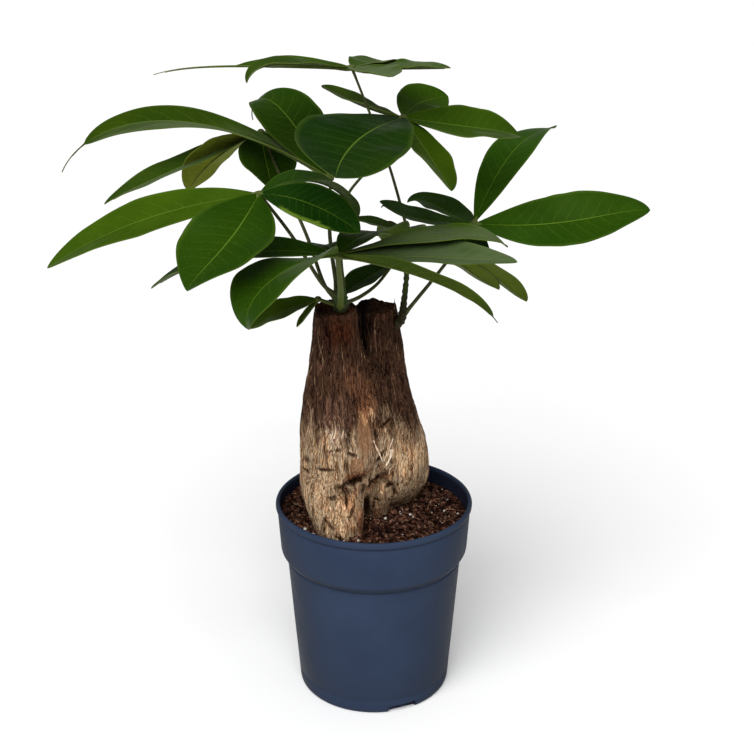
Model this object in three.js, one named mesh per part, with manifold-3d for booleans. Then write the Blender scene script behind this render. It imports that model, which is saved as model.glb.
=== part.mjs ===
// A potted money tree: a nursery pot full of soil, a thick trunk of two cut stems grown together, two young
// shoots and their palm-shaped leaves. Millimetres, +Z up, +X to the right, -Y to the front; the origin is on
// the pot's axis, on the surface that the pot stands on.
import * as THREE from 'three';
import { mergeVertices } from 'three/addons/utils/BufferGeometryUtils.js';
import Module from 'manifold-3d';

const wasm = await Module();
wasm.setup();

// Driving dimensions.
const GAP = 0.3;
const POT = {
  height: 124, rimRadius: 60, rimHeight: 3.6, collarTopRadius: 59.1, collarFootRadius: 57.4,
  collarFootZ: 92.6, shoulderRadius: 53.7, shoulderZ: 87.7, baseRadius: 47, wall: 1.3, floor: 1.8, sides: 44,
};
const DRAIN = { count: 3, firstTurn: -68, width: 18, height: 4.5, depth: 9 };
const SOIL = { top: 115, rough: 1.1, slope: -0.035, sides: 36, rings: 7 };
const STEM_SIDES = 20;
const LEAFLET = {
  thickness: 0.8, fold: 0.18, wave: 0.03, tipShape: 0.7, steps: 40, rootWidth: 1.6, tipWidth: 0.8,
};
const LEAFLET_STATIONS = [0, 5, 11, 17, 23, 29, 34, 38, 40];
const HUB_RADIUS = 2.4;

// Each stem of the trunk: a stack of ovals, from its foot in the soil to its cut top.
const STEMS = {
  left: {
    z: [95, 108, 118, 130, 145, 165, 190, 215, 235, 251],
    x: [-20, -20, -20.3, -20.5, -20, -20, -20.5, -21.3, -22, -22],
    y: [6, 5, 4, 1, -3, -6, -8, -10, -12, -13],
    rx: [17, 19.5, 21.5, 24.5, 25.5, 24, 20.5, 16.7, 13.3, 12.5],
    ry: [18, 21, 23, 26, 28, 27, 23, 19, 17, 15.5],
  },
  right: {
    z: [95, 106, 115, 124, 135, 150, 170, 195, 220, 245],
    x: [8.5, 9, 9.2, 11, 12, 11.7, 9, 5.5, 2.8, 1],
    y: [20, 21, 21, 18, 15, 13, 11, 9, 8, 8],
    rx: [10, 13, 16.5, 19, 21, 20.8, 19.5, 16.5, 13.8, 11.8],
    ry: [10, 12, 15, 22, 26, 26, 23, 19, 16, 14],
  },
  frontRoot: {
    z: [95, 106, 116, 126, 138, 152, 168],
    x: [-19.5, -20, -21, -22.6, -24.5, -25, -22],
    y: [-20, -23, -24.5, -23.5, -20.5, -16, -11],
    rx: [9.5, 12, 14.3, 16.4, 17.8, 17, 11],
    ry: [11, 14, 16.5, 17, 16, 14, 8],
  },
  middle: {
    z: [95, 110, 125, 138, 148, 160, 180, 200, 222],
    x: [2, 2, 2, 1.5, 1, 0, -1, -2, -4],
    y: [14, 15, 15, 13, 7, 4, 3, 2, 1],
    rx: [8, 10, 12, 15, 17, 18, 17, 15, 8],
    ry: [7, 9, 13, 17, 24, 25, 24, 21, 12],
  },
  knob: {
    z: [95, 108, 120, 130, 138],
    x: [1.5, 2, 2.5, 3.5, 5],
    y: [4, 1, -2, -3, 0],
    rx: [5, 6, 6.5, 6, 4],
    ry: [7, 9, 10, 9, 6],
  },
  backRoot: {
    z: [95, 106, 118, 132, 150],
    x: [-10, -10, -9, -8, -6],
    y: [30, 33, 32, 27, 20],
    rx: [8, 12, 14, 14, 9],
    ry: [8, 10, 11, 12, 8],
  },
};

// Each young shoot: the points that it grows through and its radius at them.
const SHOOTS = {
  shoot_left: {
    through: [[-18, -19, 248.5], [-18.4, -19.4, 257], [-19, -20, 266]],
    radius: [4.4, 4.1, 3],
  },
  shoot_right: {
    through: [
      [10.5, 4.5, 232.5], [15.8, 2, 238.5], [17.4, 2.4, 248], [18.8, 5, 261], [19.6, 8, 274], [20, 10, 289],
    ],
    radius: [2.4, 2.9, 1.8, 1.6, 1.7, 2],
  },
};

// Each leaf: the points that its stalk grows through, the last of them its hub, and its leaflets. A leaflet
// turns about +Z from +X, lifts from the level and then droops, curls down at its tip, rolls and twists about
// its midrib, and bends sideways. Its drip tip is a share of its length.
const LEAVES = {
  leaf_top: {
    stalk: [[20, 10, 287.5], [8, 1, 331], [-11.5, -12, 384.5]],
    radius: [0.9, 0.65],
    colour: 0x38501f,
    leaflets: [
      { turn: 167, lift: 0, droop: 4, long: 114, wide: 25, roll: -6, bend: -2, curl: 15, drip: 0.44 },
      { turn: 196, lift: 6, long: 61, wide: 24, curl: 90 },
      { turn: 302, lift: 0, long: 40, wide: 27 },
      { turn: 5, lift: -1, long: 53, wide: 26 },
      { turn: 57, lift: 4, droop: 15, long: 37, wide: 26 },
    ],
  },
  leaf_high_right: {
    stalk: [[-17, -18, 264.5], [-18.5, -11, 289], [-15.5, -2, 311], [-1.5, -3, 330], [16, -5, 357]],
    radius: [1, 0.7],
    colour: 0x2f4a12,
    leaflets: [
      { turn: 155, lift: 8, droop: -20, long: 52, wide: 23, roll: 16, bend: -4, twist: -17, curl: 10 },
      { turn: 246, lift: 2, droop: 17, long: 124, wide: 56, roll: -4, bend: 25, twist: -13, curl: -14 },
      { turn: 296, lift: -24, droop: 15, long: 60, wide: 27, roll: -10, bend: 8, twist: -16 },
      { turn: 357, lift: -9, droop: -5, long: 66, wide: 36, roll: 21, bend: 17, twist: -7, curl: 21 },
      { turn: 69, lift: 14, droop: 21, long: 47, wide: 27, roll: 11, bend: -42, twist: 23, curl: -14 },
    ],
  },
  leaf_high_left: {
    stalk: [[-20.5, -18.5, 263], [-24.5, -10, 293], [-24, 0, 322]],
    radius: [1.3, 0.9],
    colour: 0x24401a,
    leaflets: [
      {
        turn: 152, lift: 24, droop: 51, long: 190, wide: 27, roll: 27, bend: 28, twist: -80, curl: 37,
        drip: 0.12,
      },
      { turn: 123, lift: 32, droop: 3, long: 102, wide: 36, roll: -16, bend: 10, curl: 148, drip: 0.12 },
      { turn: 70, lift: 25, droop: 40, long: 60, wide: 32 },
    ],
  },
  leaf_front_left: {
    stalk: [[-21.5, -20.5, 261], [-27.5, -24, 267], [-44.6, -30, 297.5], [-60, -45, 324]],
    radius: [1.3, 0.9],
    colour: 0x375515,
    leaflets: [
      { turn: 180, lift: -8, droop: 25, long: 121, wide: 30, roll: -44, bend: 10, twist: 35 },
      { turn: 252, lift: -25, long: 75, wide: 48, roll: -24, bend: -40, twist: 29, curl: 29 },
      { turn: 316, lift: 8, droop: 35, long: 72, wide: 22, roll: 40, bend: 11 },
      { turn: 26, lift: 24, droop: 100, long: 67, wide: 32, bend: -8 },
    ],
  },
  leaf_right: {
    stalk: [[17, 2.3, 240.5], [42, 3, 273], [57, 5, 295]],
    radius: [1.2, 0.8],
    colour: 0x325413,
    leaflets: [
      { turn: 359, lift: -4, droop: -29, long: 100, wide: 34, roll: 69, twist: -42, curl: 27 },
      { turn: 61, lift: 42, droop: 50, long: 114, wide: 28, roll: 20, bend: -9, twist: -38 },
      { turn: 126, lift: 0, droop: -40, long: 50, wide: 32, roll: 12, bend: 50, twist: -15, curl: 80 },
      { turn: 201, lift: 6, droop: -19, long: 61, wide: 26, roll: -6, twist: -8, curl: -20 },
      { turn: 247, lift: -25, droop: -38, long: 58, wide: 38, roll: -8, bend: 5, twist: -5, curl: -13 },
    ],
  },
  leaf_front: {
    stalk: [[-18.6, -21, 254], [-18, -35, 268], [-19, -50, 292]],
    radius: [1.9, 1.4],
    colour: 0x2b4a1a,
    leaflets: [
      { turn: 237, lift: 14, droop: 62, long: 83, wide: 46, roll: 30, bend: -38, twist: -38, curl: 65 },
      { turn: 169, lift: 5, droop: 42, long: 111, wide: 32, roll: -16, twist: 16 },
      { turn: 108, lift: 10, droop: 40, long: 33, wide: 22 },
      { turn: 56, lift: 20, droop: 55, long: 62, wide: 32, roll: 8, bend: -8, twist: -40 },
      { turn: 14, lift: 8, droop: 12, long: 101, wide: 31, roll: -14, bend: 15, twist: 25, curl: 39 },
      { turn: 351, lift: 2, droop: 4, long: 95, wide: 34, roll: 4 },
      { turn: 330, lift: 0, droop: 28, long: 97, wide: 26, roll: -33, bend: 22, curl: 27, drip: 0.04 },
    ],
  },
  leaf_back_left: {
    stalk: [[-21.5, -18.5, 257.5], [-27, -14, 263], [-38, 1, 289], [-54, 27, 317], [-66.5, 50, 339]],
    radius: [1.2, 0.9],
    colour: 0x27431a,
    leaflets: [
      { turn: 194, lift: -21, long: 101, wide: 32, roll: -10, twist: 11, curl: 9 },
      { turn: 184, lift: -22, droop: 35, long: 57, wide: 34, roll: 23, bend: 9, twist: 25, curl: 4 },
      { turn: 281, lift: -36, droop: 38, long: 39, wide: 37, roll: 6, bend: 32, twist: -35 },
      { turn: 96, lift: -15, droop: 30, long: 60, wide: 32 },
    ],
  },
  leaf_low_right: {
    stalk: [[20, 11, 286], [20.5, 15, 287.5], [20, 20, 285]],
    radius: [1.2, 1.0],
    colour: 0x44551f,
    leaflets: [
      { turn: 174, lift: 18, droop: 10, long: 34, wide: 18 },
      { turn: 30, lift: -30, droop: 13, long: 78, wide: 26, roll: -22, bend: -6, twist: 7, curl: -12 },
      { turn: 15, lift: -20, droop: 33, long: 93, wide: 27, roll: -6, bend: 12, twist: -14, curl: -14 },
      { turn: 95, lift: 0, droop: 60, long: 66, wide: 30 },
    ],
  },
  leaf_inner: {
    stalk: [[-15.8, -18, 255], [-8, -10, 256], [2, 2, 260], [12.5, 15, 270]],
    radius: [1.2, 0.9],
    colour: 0x1d3312,
    leaflets: [
      { turn: 210, lift: -21, droop: 3, long: 38, wide: 26 },
    ],
  },
  leaf_low_left: {
    stalk: [[-20.5, -20, 254], [-26, -18, 255.3], [-31.5, -15, 256.5]],
    radius: [1.2, 1.0],
    colour: 0x4a5a22,
    leaflets: [
      { turn: 190, lift: -14, droop: 18, long: 42, wide: 25, roll: -13, twist: 13 },
      { turn: 200, lift: -50, long: 20, wide: 8 },
    ],
  },
};

const radians = THREE.MathUtils.degToRad;

// A closed mesh from loops of points of equal count. Past the middle of a loop the quads are split the other
// way, so that a blade's two faces have the same triangles.
function skin(loops) {
  const count = loops[0].length;
  const positions = loops.flat().flatMap((point) => [point.x, point.y, point.z]);
  const index = [];
  for (let row = 0; row + 1 < loops.length; row += 1) {
    for (let side = 0; side < count; side += 1) {
      const next = (side + 1) % count;
      const a = row * count + side;
      const b = row * count + next;
      const c = a + count;
      const d = b + count;
      if (side < count / 2) {
        index.push(a, b, d, a, d, c);
      } else {
        index.push(a, b, c, b, d, c);
      }
    }
  }
  const last = (loops.length - 1) * count;
  for (let side = 1; side + 1 < count; side += 1) {
    index.push(0, side + 1, side, last, last + side, last + side + 1);
  }
  const geometry = new THREE.BufferGeometry();
  geometry.setAttribute('position', new THREE.Float32BufferAttribute(positions, 3));
  geometry.setIndex(index);
  return geometry;
}

function toSolid(geometry) {
  const bare = geometry.clone();
  bare.deleteAttribute('normal');
  bare.deleteAttribute('uv');
  const merged = mergeVertices(bare, 1e-4);
  const vertProperties = new Float32Array(merged.attributes.position.array);
  const triVerts = new Uint32Array(merged.index.array);
  return new wasm.Manifold(new wasm.Mesh({ numProp: 3, vertProperties, triVerts }));
}

function toGeometry(solid) {
  const mesh = solid.getMesh();
  const geometry = new THREE.BufferGeometry();
  geometry.setAttribute('position', new THREE.BufferAttribute(mesh.vertProperties, 3));
  geometry.setIndex(new THREE.BufferAttribute(mesh.triVerts, 1));
  return geometry;
}

const joined = (solids) => solids.reduce((whole, solid) => whole.add(solid));

// A smooth value along evenly spaced keys, at t from 0 to 1.
function along(keys, t) {
  const place = t * (keys.length - 1);
  const i = Math.min(Math.floor(place), keys.length - 2);
  const u = place - i;
  const before = keys[Math.max(i - 1, 0)];
  const after = keys[Math.min(i + 2, keys.length - 1)];
  const slope = (keys[i + 1] - before) / 2;
  const nextSlope = (after - keys[i]) / 2;
  const rise = keys[i + 1] - keys[i];
  return keys[i] + u * (slope + u * (3 * rise - 2 * slope - nextSlope + u * (slope + nextSlope - 2 * rise)));
}

// A lathe's profile is given as radius and height, and its axis is turned to +Z.
function turned(profile, sides) {
  const points = profile.map(([radius, height]) => new THREE.Vector2(radius, height));
  return new THREE.LatheGeometry(points, sides).rotateX(Math.PI / 2);
}

function makePot() {
  const { height, rimRadius, rimHeight, wall } = POT;
  const neck = height - rimHeight;
  const outside = [
    [0, 0], [POT.baseRadius - 1.6, 0], [POT.baseRadius - 0.4, 0.6], [POT.baseRadius, 2],
    [POT.shoulderRadius, POT.shoulderZ], [POT.collarFootRadius - 0.6, POT.collarFootZ - 0.6],
    [POT.collarFootRadius, POT.collarFootZ], [POT.collarTopRadius, neck], [rimRadius - 0.3, neck + 0.4],
    [rimRadius, neck + 1.2], [rimRadius - 0.2, height - 0.8], [rimRadius - 1, height],
  ];
  const inside = [
    [rimRadius - 2.2, height], [POT.collarTopRadius - wall, height - 1],
    [POT.collarFootRadius - wall, POT.collarFootZ + 0.6], [POT.shoulderRadius - wall, POT.shoulderZ - 0.8],
    [POT.baseRadius - wall, POT.floor], [0, POT.floor],
  ];
  let pot = toSolid(turned([...outside, ...inside], POT.sides));
  for (let i = 0; i < DRAIN.count; i += 1) {
    const turn = radians(DRAIN.firstTurn + (i * 360) / DRAIN.count);
    const slot = new THREE.BoxGeometry(DRAIN.depth, DRAIN.width, DRAIN.height * 2)
      .translate(POT.baseRadius + 1, 0, 0)
      .rotateZ(turn);
    pot = pot.subtract(toSolid(slot));
  }
  return pot;
}

// One stem of the trunk, grown all round by `extra`, with shallow lumps that follow it upwards.
function makeStem(keys, extra = 0) {
  const rows = keys.z.length * 2 - 1;
  const loops = [];
  for (let row = 0; row < rows; row += 1) {
    const t = row / (rows - 1);
    const z = along(keys.z, t);
    const loop = [];
    for (let side = 0; side < STEM_SIDES; side += 1) {
      const angle = (side / STEM_SIDES) * Math.PI * 2;
      const lump = 1 + 0.03 * Math.sin(3 * angle + z / 17) + 0.02 * Math.sin(5 * angle - z / 13);
      loop.push(new THREE.Vector3(
        along(keys.x, t) + (along(keys.rx, t) * lump + extra) * Math.cos(angle),
        along(keys.y, t) + (along(keys.ry, t) * lump + extra) * Math.sin(angle),
        z + (row === 0 ? -extra : 0) + (row === rows - 1 ? extra : 0),
      ));
    }
    loops.push(loop);
  }
  return toSolid(skin(loops));
}

const makeTrunk = (extra = 0) => joined(Object.values(STEMS).map((keys) => makeStem(keys, extra)));

// A round stalk or shoot through points, grown all round by `extra`.
function makeStalk(through, radius, extra = 0) {
  const sides = 6;
  const curve = new THREE.CatmullRomCurve3(through.map((point) => new THREE.Vector3(...point)));
  const steps = Math.max(4, Math.round(curve.getLength() / 14));
  const frames = curve.computeFrenetFrames(steps, false);
  const loops = [];
  for (let step = 0; step <= steps; step += 1) {
    const t = step / steps;
    const centre = curve.getPointAt(t);
    const reach = along(radius, t) + extra;
    if (extra > 0 && step === 0) {
      centre.addScaledVector(frames.tangents[0], -extra);
    }
    const loop = [];
    for (let side = 0; side < sides; side += 1) {
      const angle = (side / sides) * Math.PI * 2;
      loop.push(centre.clone()
        .addScaledVector(frames.normals[step], reach * Math.cos(angle))
        .addScaledVector(frames.binormals[step], reach * Math.sin(angle)));
    }
    loops.push(loop);
  }
  return toSolid(skin(loops));
}

function makeLeaflet(hub, leaflet, phase) {
  const { turn, lift, droop = 0, long, wide, roll = 0, bend = 0, twist = 0, curl = 0, drip = 0 } = leaflet;
  const { thickness, fold, wave, tipShape, steps, rootWidth, tipWidth } = LEAFLET;
  const heading = (s) => {
    const pitch = radians(lift - droop * s ** 1.3 - curl * s ** 6);
    const azimuth = radians(turn + bend * s ** 2);
    const forward = new THREE.Vector3(Math.cos(azimuth), Math.sin(azimuth), 0)
      .multiplyScalar(Math.cos(pitch))
      .setZ(Math.sin(pitch));
    const across = new THREE.Vector3(-Math.sin(azimuth), Math.cos(azimuth), 0)
      .applyAxisAngle(forward, radians(roll + twist * s));
    return { forward, across, up: forward.clone().cross(across) };
  };
  const widest = 1 / (1 + tipShape);
  const fullest = widest * (1 - widest) ** tipShape;
  const loops = [];
  const point = hub.clone();
  let walked = 0;
  for (const station of LEAFLET_STATIONS) {
    while (walked + 0.5 <= station) {
      point.addScaledVector(heading((walked + 0.25) / steps).forward, (long * 0.5) / steps);
      walked += 0.5;
    }
    const s = station / steps;
    const { across, up } = heading(s);
    const slimmest = (rootWidth + (tipWidth - rootWidth) * s) / 2;
    const share = Math.min(s / (1 - drip), 1);
    const half = Math.max(slimmest, ((wide / 2) * share * (1 - share) ** tipShape) / fullest);
    const edge = (side, face) => point.clone()
      .addScaledVector(across, half * side)
      .addScaledVector(up, half * fold + half * wave * side * Math.sin(5 * Math.PI * s + phase)
        + (thickness / 2) * face);
    const rib = (face) => point.clone().addScaledVector(up, (thickness / 2) * face);
    loops.push([edge(1, 1), rib(1), edge(-1, 1), edge(-1, -1), rib(-1), edge(1, -1)]);
  }
  return toSolid(skin(loops));
}

function makeLeaf(leaf, phase) {
  const hub = new THREE.Vector3(...leaf.stalk.at(-1));
  const knob = toSolid(new THREE.IcosahedronGeometry(HUB_RADIUS).translate(hub.x, hub.y, hub.z));
  const blades = leaf.leaflets.map((leaflet, i) => makeLeaflet(hub, leaflet, phase + i * 2.1));
  return joined([knob, makeStalk(leaf.stalk, leaf.radius), ...blades]);
}

function makeSoil() {
  const { wall, floor } = POT;
  const edge = SOIL.top;
  const slope = (POT.collarTopRadius - POT.collarFootRadius) / (POT.height - POT.collarFootZ);
  const lowest = edge - 3 * SOIL.rough;
  const edgeRadius = POT.collarFootRadius - wall - GAP + slope * (lowest - POT.collarFootZ);
  const profile = [
    [0, floor + GAP], [POT.baseRadius - wall - GAP, floor + GAP],
    [POT.shoulderRadius - wall - GAP, POT.shoulderZ - 0.8],
    [POT.collarFootRadius - wall - GAP, POT.collarFootZ + 0.9],
  ];
  for (let ring = 0; ring <= SOIL.rings; ring += 1) {
    profile.push([edgeRadius * (1 - ring / SOIL.rings), edge]);
  }
  const geometry = turned(profile, SOIL.sides);
  const place = geometry.attributes.position;
  for (let i = 0; i < place.count; i += 1) {
    if (place.getZ(i) > edge - 1) {
      const x = place.getX(i);
      const y = place.getY(i);
      const lump = Math.sin(x / 4.1 + 1) * Math.cos(y / 5.3) + 0.6 * Math.sin(x / 2.3 - y / 3.1);
      place.setZ(i, edge + SOIL.rough * lump + SOIL.slope * x);
    }
  }
  return toSolid(geometry);
}

const tree = new THREE.Group();

function addPiece(name, solid, colour, roughness) {
  const material = new THREE.MeshStandardMaterial({ color: colour, roughness, metalness: 0 });
  const mesh = new THREE.Mesh(toGeometry(solid), material);
  mesh.name = name;
  tree.add(mesh);
}

const shootSockets = Object.values(SHOOTS).map(({ through, radius }) => makeStalk(through, radius, GAP));
const stalkSockets = Object.values(LEAVES).map(({ stalk, radius }) => makeStalk(stalk, radius, GAP));

addPiece('pot', makePot(), 0x363f55, 0.5);
addPiece('soil', makeSoil().subtract(makeTrunk(GAP)), 0x2c1a14, 0.95);
addPiece('trunk', makeTrunk().subtract(joined(shootSockets)), 0x6e5440, 0.9);
Object.entries(SHOOTS).forEach(([name, { through, radius }]) => {
  addPiece(name, makeStalk(through, radius).subtract(joined(stalkSockets)), 0x3d4a26, 0.7);
});
Object.entries(LEAVES).forEach(([name, leaf], i) => {
  addPiece(name, makeLeaf(leaf, i), leaf.colour, 0.45);
});

export default tree;
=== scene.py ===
import math
import random

import bpy
import numpy as np
from mathutils import Matrix, Vector
from mathutils.bvhtree import BVHTree


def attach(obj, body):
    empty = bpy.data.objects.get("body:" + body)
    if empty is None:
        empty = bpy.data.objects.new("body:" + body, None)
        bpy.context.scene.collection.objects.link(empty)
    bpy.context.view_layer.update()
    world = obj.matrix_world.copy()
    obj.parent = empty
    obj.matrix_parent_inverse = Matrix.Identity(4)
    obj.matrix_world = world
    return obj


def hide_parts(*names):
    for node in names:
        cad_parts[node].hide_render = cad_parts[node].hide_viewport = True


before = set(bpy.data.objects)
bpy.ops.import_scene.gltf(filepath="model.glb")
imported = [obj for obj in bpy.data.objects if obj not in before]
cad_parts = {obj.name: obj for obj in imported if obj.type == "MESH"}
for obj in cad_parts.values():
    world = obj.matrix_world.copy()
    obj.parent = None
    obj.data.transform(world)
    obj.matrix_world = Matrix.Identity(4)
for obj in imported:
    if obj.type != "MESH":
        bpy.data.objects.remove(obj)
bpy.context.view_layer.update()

mm = 0.001


# small helpers for modelling

def deselectAll():
    if bpy.context.object and bpy.context.object.mode != "OBJECT":
        bpy.ops.object.mode_set(mode="OBJECT")
    bpy.ops.object.select_all(action="DESELECT")


def pick(piece):
    deselectAll()
    piece.select_set(True)
    bpy.context.view_layer.objects.active = piece
    return piece


def named(name):
    piece = bpy.context.active_object
    piece.name = name
    piece.data.name = name
    return piece


def modify(piece, kind, **settings):
    pick(piece)
    modifier = piece.modifiers.new(kind.lower(), kind)
    for key, value in settings.items():
        setattr(modifier, key, value)
    bpy.ops.object.modifier_apply(modifier=modifier.name)


def copyOf(piece):
    twin = piece.copy()
    twin.data = piece.data.copy()
    bpy.context.scene.collection.objects.link(twin)
    return twin


def fuse(name, pieces):
    deselectAll()
    for piece in pieces:
        piece.select_set(True)
    bpy.context.view_layer.objects.active = pieces[0]
    bpy.ops.object.join()
    return named(name)


def settle(piece):
    pick(piece)
    bpy.ops.object.transform_apply(location=True, rotation=True, scale=True)


def readVectors(items, key):
    flat = np.empty(len(items) * 3)
    items.foreach_get(key, flat)
    return flat.reshape(-1, 3)


def readPoints(piece):
    return readVectors(piece.data.vertices, "co")


def readNormals(piece):
    return readVectors(piece.data.vertex_normals, "vector")


def writePoints(piece, places):
    piece.data.vertices.foreach_set("co", np.asarray(places, float).ravel())
    piece.data.update()


def tagPoints(piece, name, values):
    layer = piece.data.attributes.new(name, "FLOAT", "POINT")
    layer.data.foreach_set("value", np.broadcast_to(values, len(piece.data.vertices)).astype(np.float32))


# opens a piece in edit mode, with all of it picked
def openMesh(piece):
    pick(piece)
    bpy.ops.object.mode_set(mode="EDIT")
    bpy.ops.mesh.select_all(action="SELECT")


# turns all faces outwards and leaves edit mode
def closeMesh():
    bpy.ops.mesh.select_all(action="SELECT")
    bpy.ops.mesh.normals_make_consistent(inside=False)
    bpy.ops.object.mode_set(mode="OBJECT")


# extrudes the picked ring from step to step; a step has its centre and its half widths along X and Y
def extrudeRings(steps):
    for (x, y, z, rx, ry), (nx, ny, nz, nrx, nry) in zip(steps, steps[1:]):
        bpy.ops.mesh.extrude_region_move(
            TRANSFORM_OT_translate={"value": ((nx - x) * mm, (ny - y) * mm, (nz - z) * mm)})
        bpy.ops.transform.resize(value=(nrx / rx, nry / ry, 1), center_override=(nx * mm, ny * mm, nz * mm))


# the steps of a turned form, from its radii and heights
def turned(profile):
    return [(0, 0, height, radius, radius) for radius, height in profile]


# a closed form through such rings
def loft(name, sides, steps):
    x, y, z, rx, ry = steps[0]
    deselectAll()
    bpy.ops.mesh.primitive_circle_add(vertices=sides, radius=rx * mm, location=(x * mm, y * mm, z * mm))
    form = named(name)
    settle(form)
    openMesh(form)
    bpy.ops.transform.resize(value=(1, ry / rx, 1), center_override=(x * mm, y * mm, z * mm))
    extrudeRings(steps)
    bpy.ops.mesh.select_all(action="SELECT")
    bpy.ops.mesh.fill_holes(sides=0)
    closeMesh()
    return form


# smooth random values from -1 to 1, one for each place
def grain(places, scale, seed=0):
    spots = np.asarray(places) * scale + seed * 17.3
    cell = np.floor(spots).astype(np.int64)
    part = spots - cell
    part = part * part * (3 - 2 * part)
    total = 0
    for corner in range(8):
        step = np.array([corner & 1, corner >> 1 & 1, corner >> 2])
        x, y, z = (cell + step).T
        mixed = (x * 73856093) ^ (y * 19349663) ^ (z * 83492791) ^ (seed * 40503)
        mixed = ((mixed ^ (mixed >> 13)) * 1274126177) & 0x7FFFFFFF
        value = ((mixed ^ (mixed >> 15)) & 0xFFFF) / 32767.5 - 1
        total = total + value * np.prod(np.where(step, part, 1 - part), axis=1)
    return total


# 0 at the first value and 1 at the second one
def ramp(values, start, end):
    return np.clip((values - start) / (end - start), 0, 1)


# a smooth value along evenly spaced keys, at t from 0 to 1
def along(keys, t):
    place = t * (len(keys) - 1)
    i = min(int(place), len(keys) - 2)
    u = place - i
    slope = (keys[i + 1] - keys[max(i - 1, 0)]) / 2
    nextSlope = (keys[min(i + 2, len(keys) - 1)] - keys[i]) / 2
    rise = keys[i + 1] - keys[i]
    bow = 3 * rise - 2 * slope - nextSlope + u * (slope + nextSlope - 2 * rise)
    return keys[i] + u * (slope + u * bow)


# a smooth line through points, as evenly timed samples
def smoothLine(through, samples):
    knots = [np.array(p, float) for p in through]
    knots = [2 * knots[0] - knots[1]] + knots + [2 * knots[-1] - knots[-2]]
    line = []
    for k in range(1, len(knots) - 2):
        p0, p1, p2, p3 = knots[k - 1:k + 3]
        d0, d1, d2 = (max(np.sum((b - a) ** 2) ** 0.25, 1e-4) for a, b in ((p0, p1), (p1, p2), (p2, p3)))
        t1 = ((p1 - p0) / d0 - (p2 - p0) / (d0 + d1) + (p2 - p1) / d1) * d1
        t2 = ((p2 - p1) / d1 - (p3 - p1) / (d1 + d2) + (p3 - p2) / d2) * d1
        for step in range(samples):
            u = step / samples
            line.append(p1 + t1 * u + (3 * (p2 - p1) - 2 * t1 - t2) * u * u
                        + (2 * (p1 - p2) + t1 + t2) * u ** 3)
    line.append(knots[-2])
    return np.array(line)


# tubes along lines, each with its own thickness from start to end, as one mesh
def makeTubes(name, lines, sides):
    curve = bpy.data.curves.new(name, "CURVE")
    curve.dimensions = "3D"
    curve.bevel_depth = 1
    curve.bevel_resolution = max(0, sides // 2 - 2)
    curve.use_fill_caps = True
    for line, radii in lines:
        spline = curve.splines.new("POLY")
        spline.points.add(len(line) - 1)
        for point, place, radius in zip(spline.points, line, radii):
            point.co = (*(np.asarray(place) * mm), 1)
            point.radius = radius * mm
    tube = bpy.data.objects.new(name, curve)
    bpy.context.scene.collection.objects.link(tube)
    pick(tube)
    bpy.ops.object.convert(target="MESH")
    tube = named(name)
    openMesh(tube)
    bpy.ops.mesh.remove_doubles(threshold=1e-6)
    closeMesh()
    return tube


# gives a piece its material, unless its parts have theirs, and its place in the frame
def finishPiece(piece, material, slot, *nodes, angle=0):
    settle(piece)
    if material:
        piece.data.materials.clear()
        piece.data.materials.append(material)
    if angle:
        bpy.ops.object.shade_smooth_by_angle(angle=math.radians(angle))
    else:
        bpy.ops.object.shade_smooth()
    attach(piece, "root")
    if nodes:
        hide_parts(*nodes)
    return piece


# small helpers for materials

def feed(tree, entry, value):
    if isinstance(value, bpy.types.NodeSocket):
        tree.links.new(value, entry)
    else:
        entry.default_value = value


def addNode(tree, kind, inputs=None, **settings):
    made = tree.nodes.new("ShaderNode" + kind)
    for key, value in settings.items():
        setattr(made, key, value)
    for key, value in (inputs or {}).items():
        feed(tree, made.inputs[key], value)
    return made


def calc(tree, operation, a, b=0.0, c=0.0):
    return addNode(tree, "Math", {0: a, 1: b, 2: c}, operation=operation).outputs[0]


def times(tree, a, b):
    return calc(tree, "MULTIPLY", a, b)


def vectorCalc(tree, operation, a, b):
    return addNode(tree, "VectorMath", {0: a, 1: b}, operation=operation).outputs[0]


def lengthOf(tree, vector):
    return addNode(tree, "VectorMath", {0: vector}, operation="LENGTH").outputs[1]


def remap(tree, value, low, high, toLow=0.0, toHigh=1.0):
    return addNode(tree, "MapRange", {"Value": value, "From Min": low, "From Max": high, "To Min": toLow,
                                      "To Max": toHigh}, interpolation_type="SMOOTHSTEP").outputs[0]


def blend(tree, amount, a, b, kind="MIX"):
    return addNode(tree, "Mix", {0: amount, 6: a, 7: b}, data_type="RGBA", blend_type=kind).outputs[2]


# lays paints over a colour, each by its mask times a share
def layered(tree, colour, *layers):
    for mask, share, paint in layers:
        colour = blend(tree, mask if share == 1 else times(tree, mask, share), colour, paint)
    return colour


def noiseOf(tree, vector, scale, detail=3.0, roughness=0.55):
    return addNode(tree, "TexNoise", {"Vector": vector, "Scale": scale, "Detail": detail,
                                      "Roughness": roughness}).outputs[0]


def cellBorders(tree, vector):
    cells = addNode(tree, "TexVoronoi", {"Vector": vector, "Scale": 1.0}, feature="DISTANCE_TO_EDGE")
    return cells.outputs[0]


def stretched(tree, vector, scale):
    return addNode(tree, "Mapping", {"Vector": vector, "Scale": scale}).outputs[0]


# a value that tagPoints has put on the mesh
def tagOf(tree, name):
    return addNode(tree, "Attribute", attribute_name=name).outputs["Fac"]


# a colour from its screen values, 0 to 255
def shade(*screen):
    return tuple(((c / 255 + 0.055) / 1.055) ** 2.4 if c > 10 else c / 255 / 12.92 for c in screen) + (1,)


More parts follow.
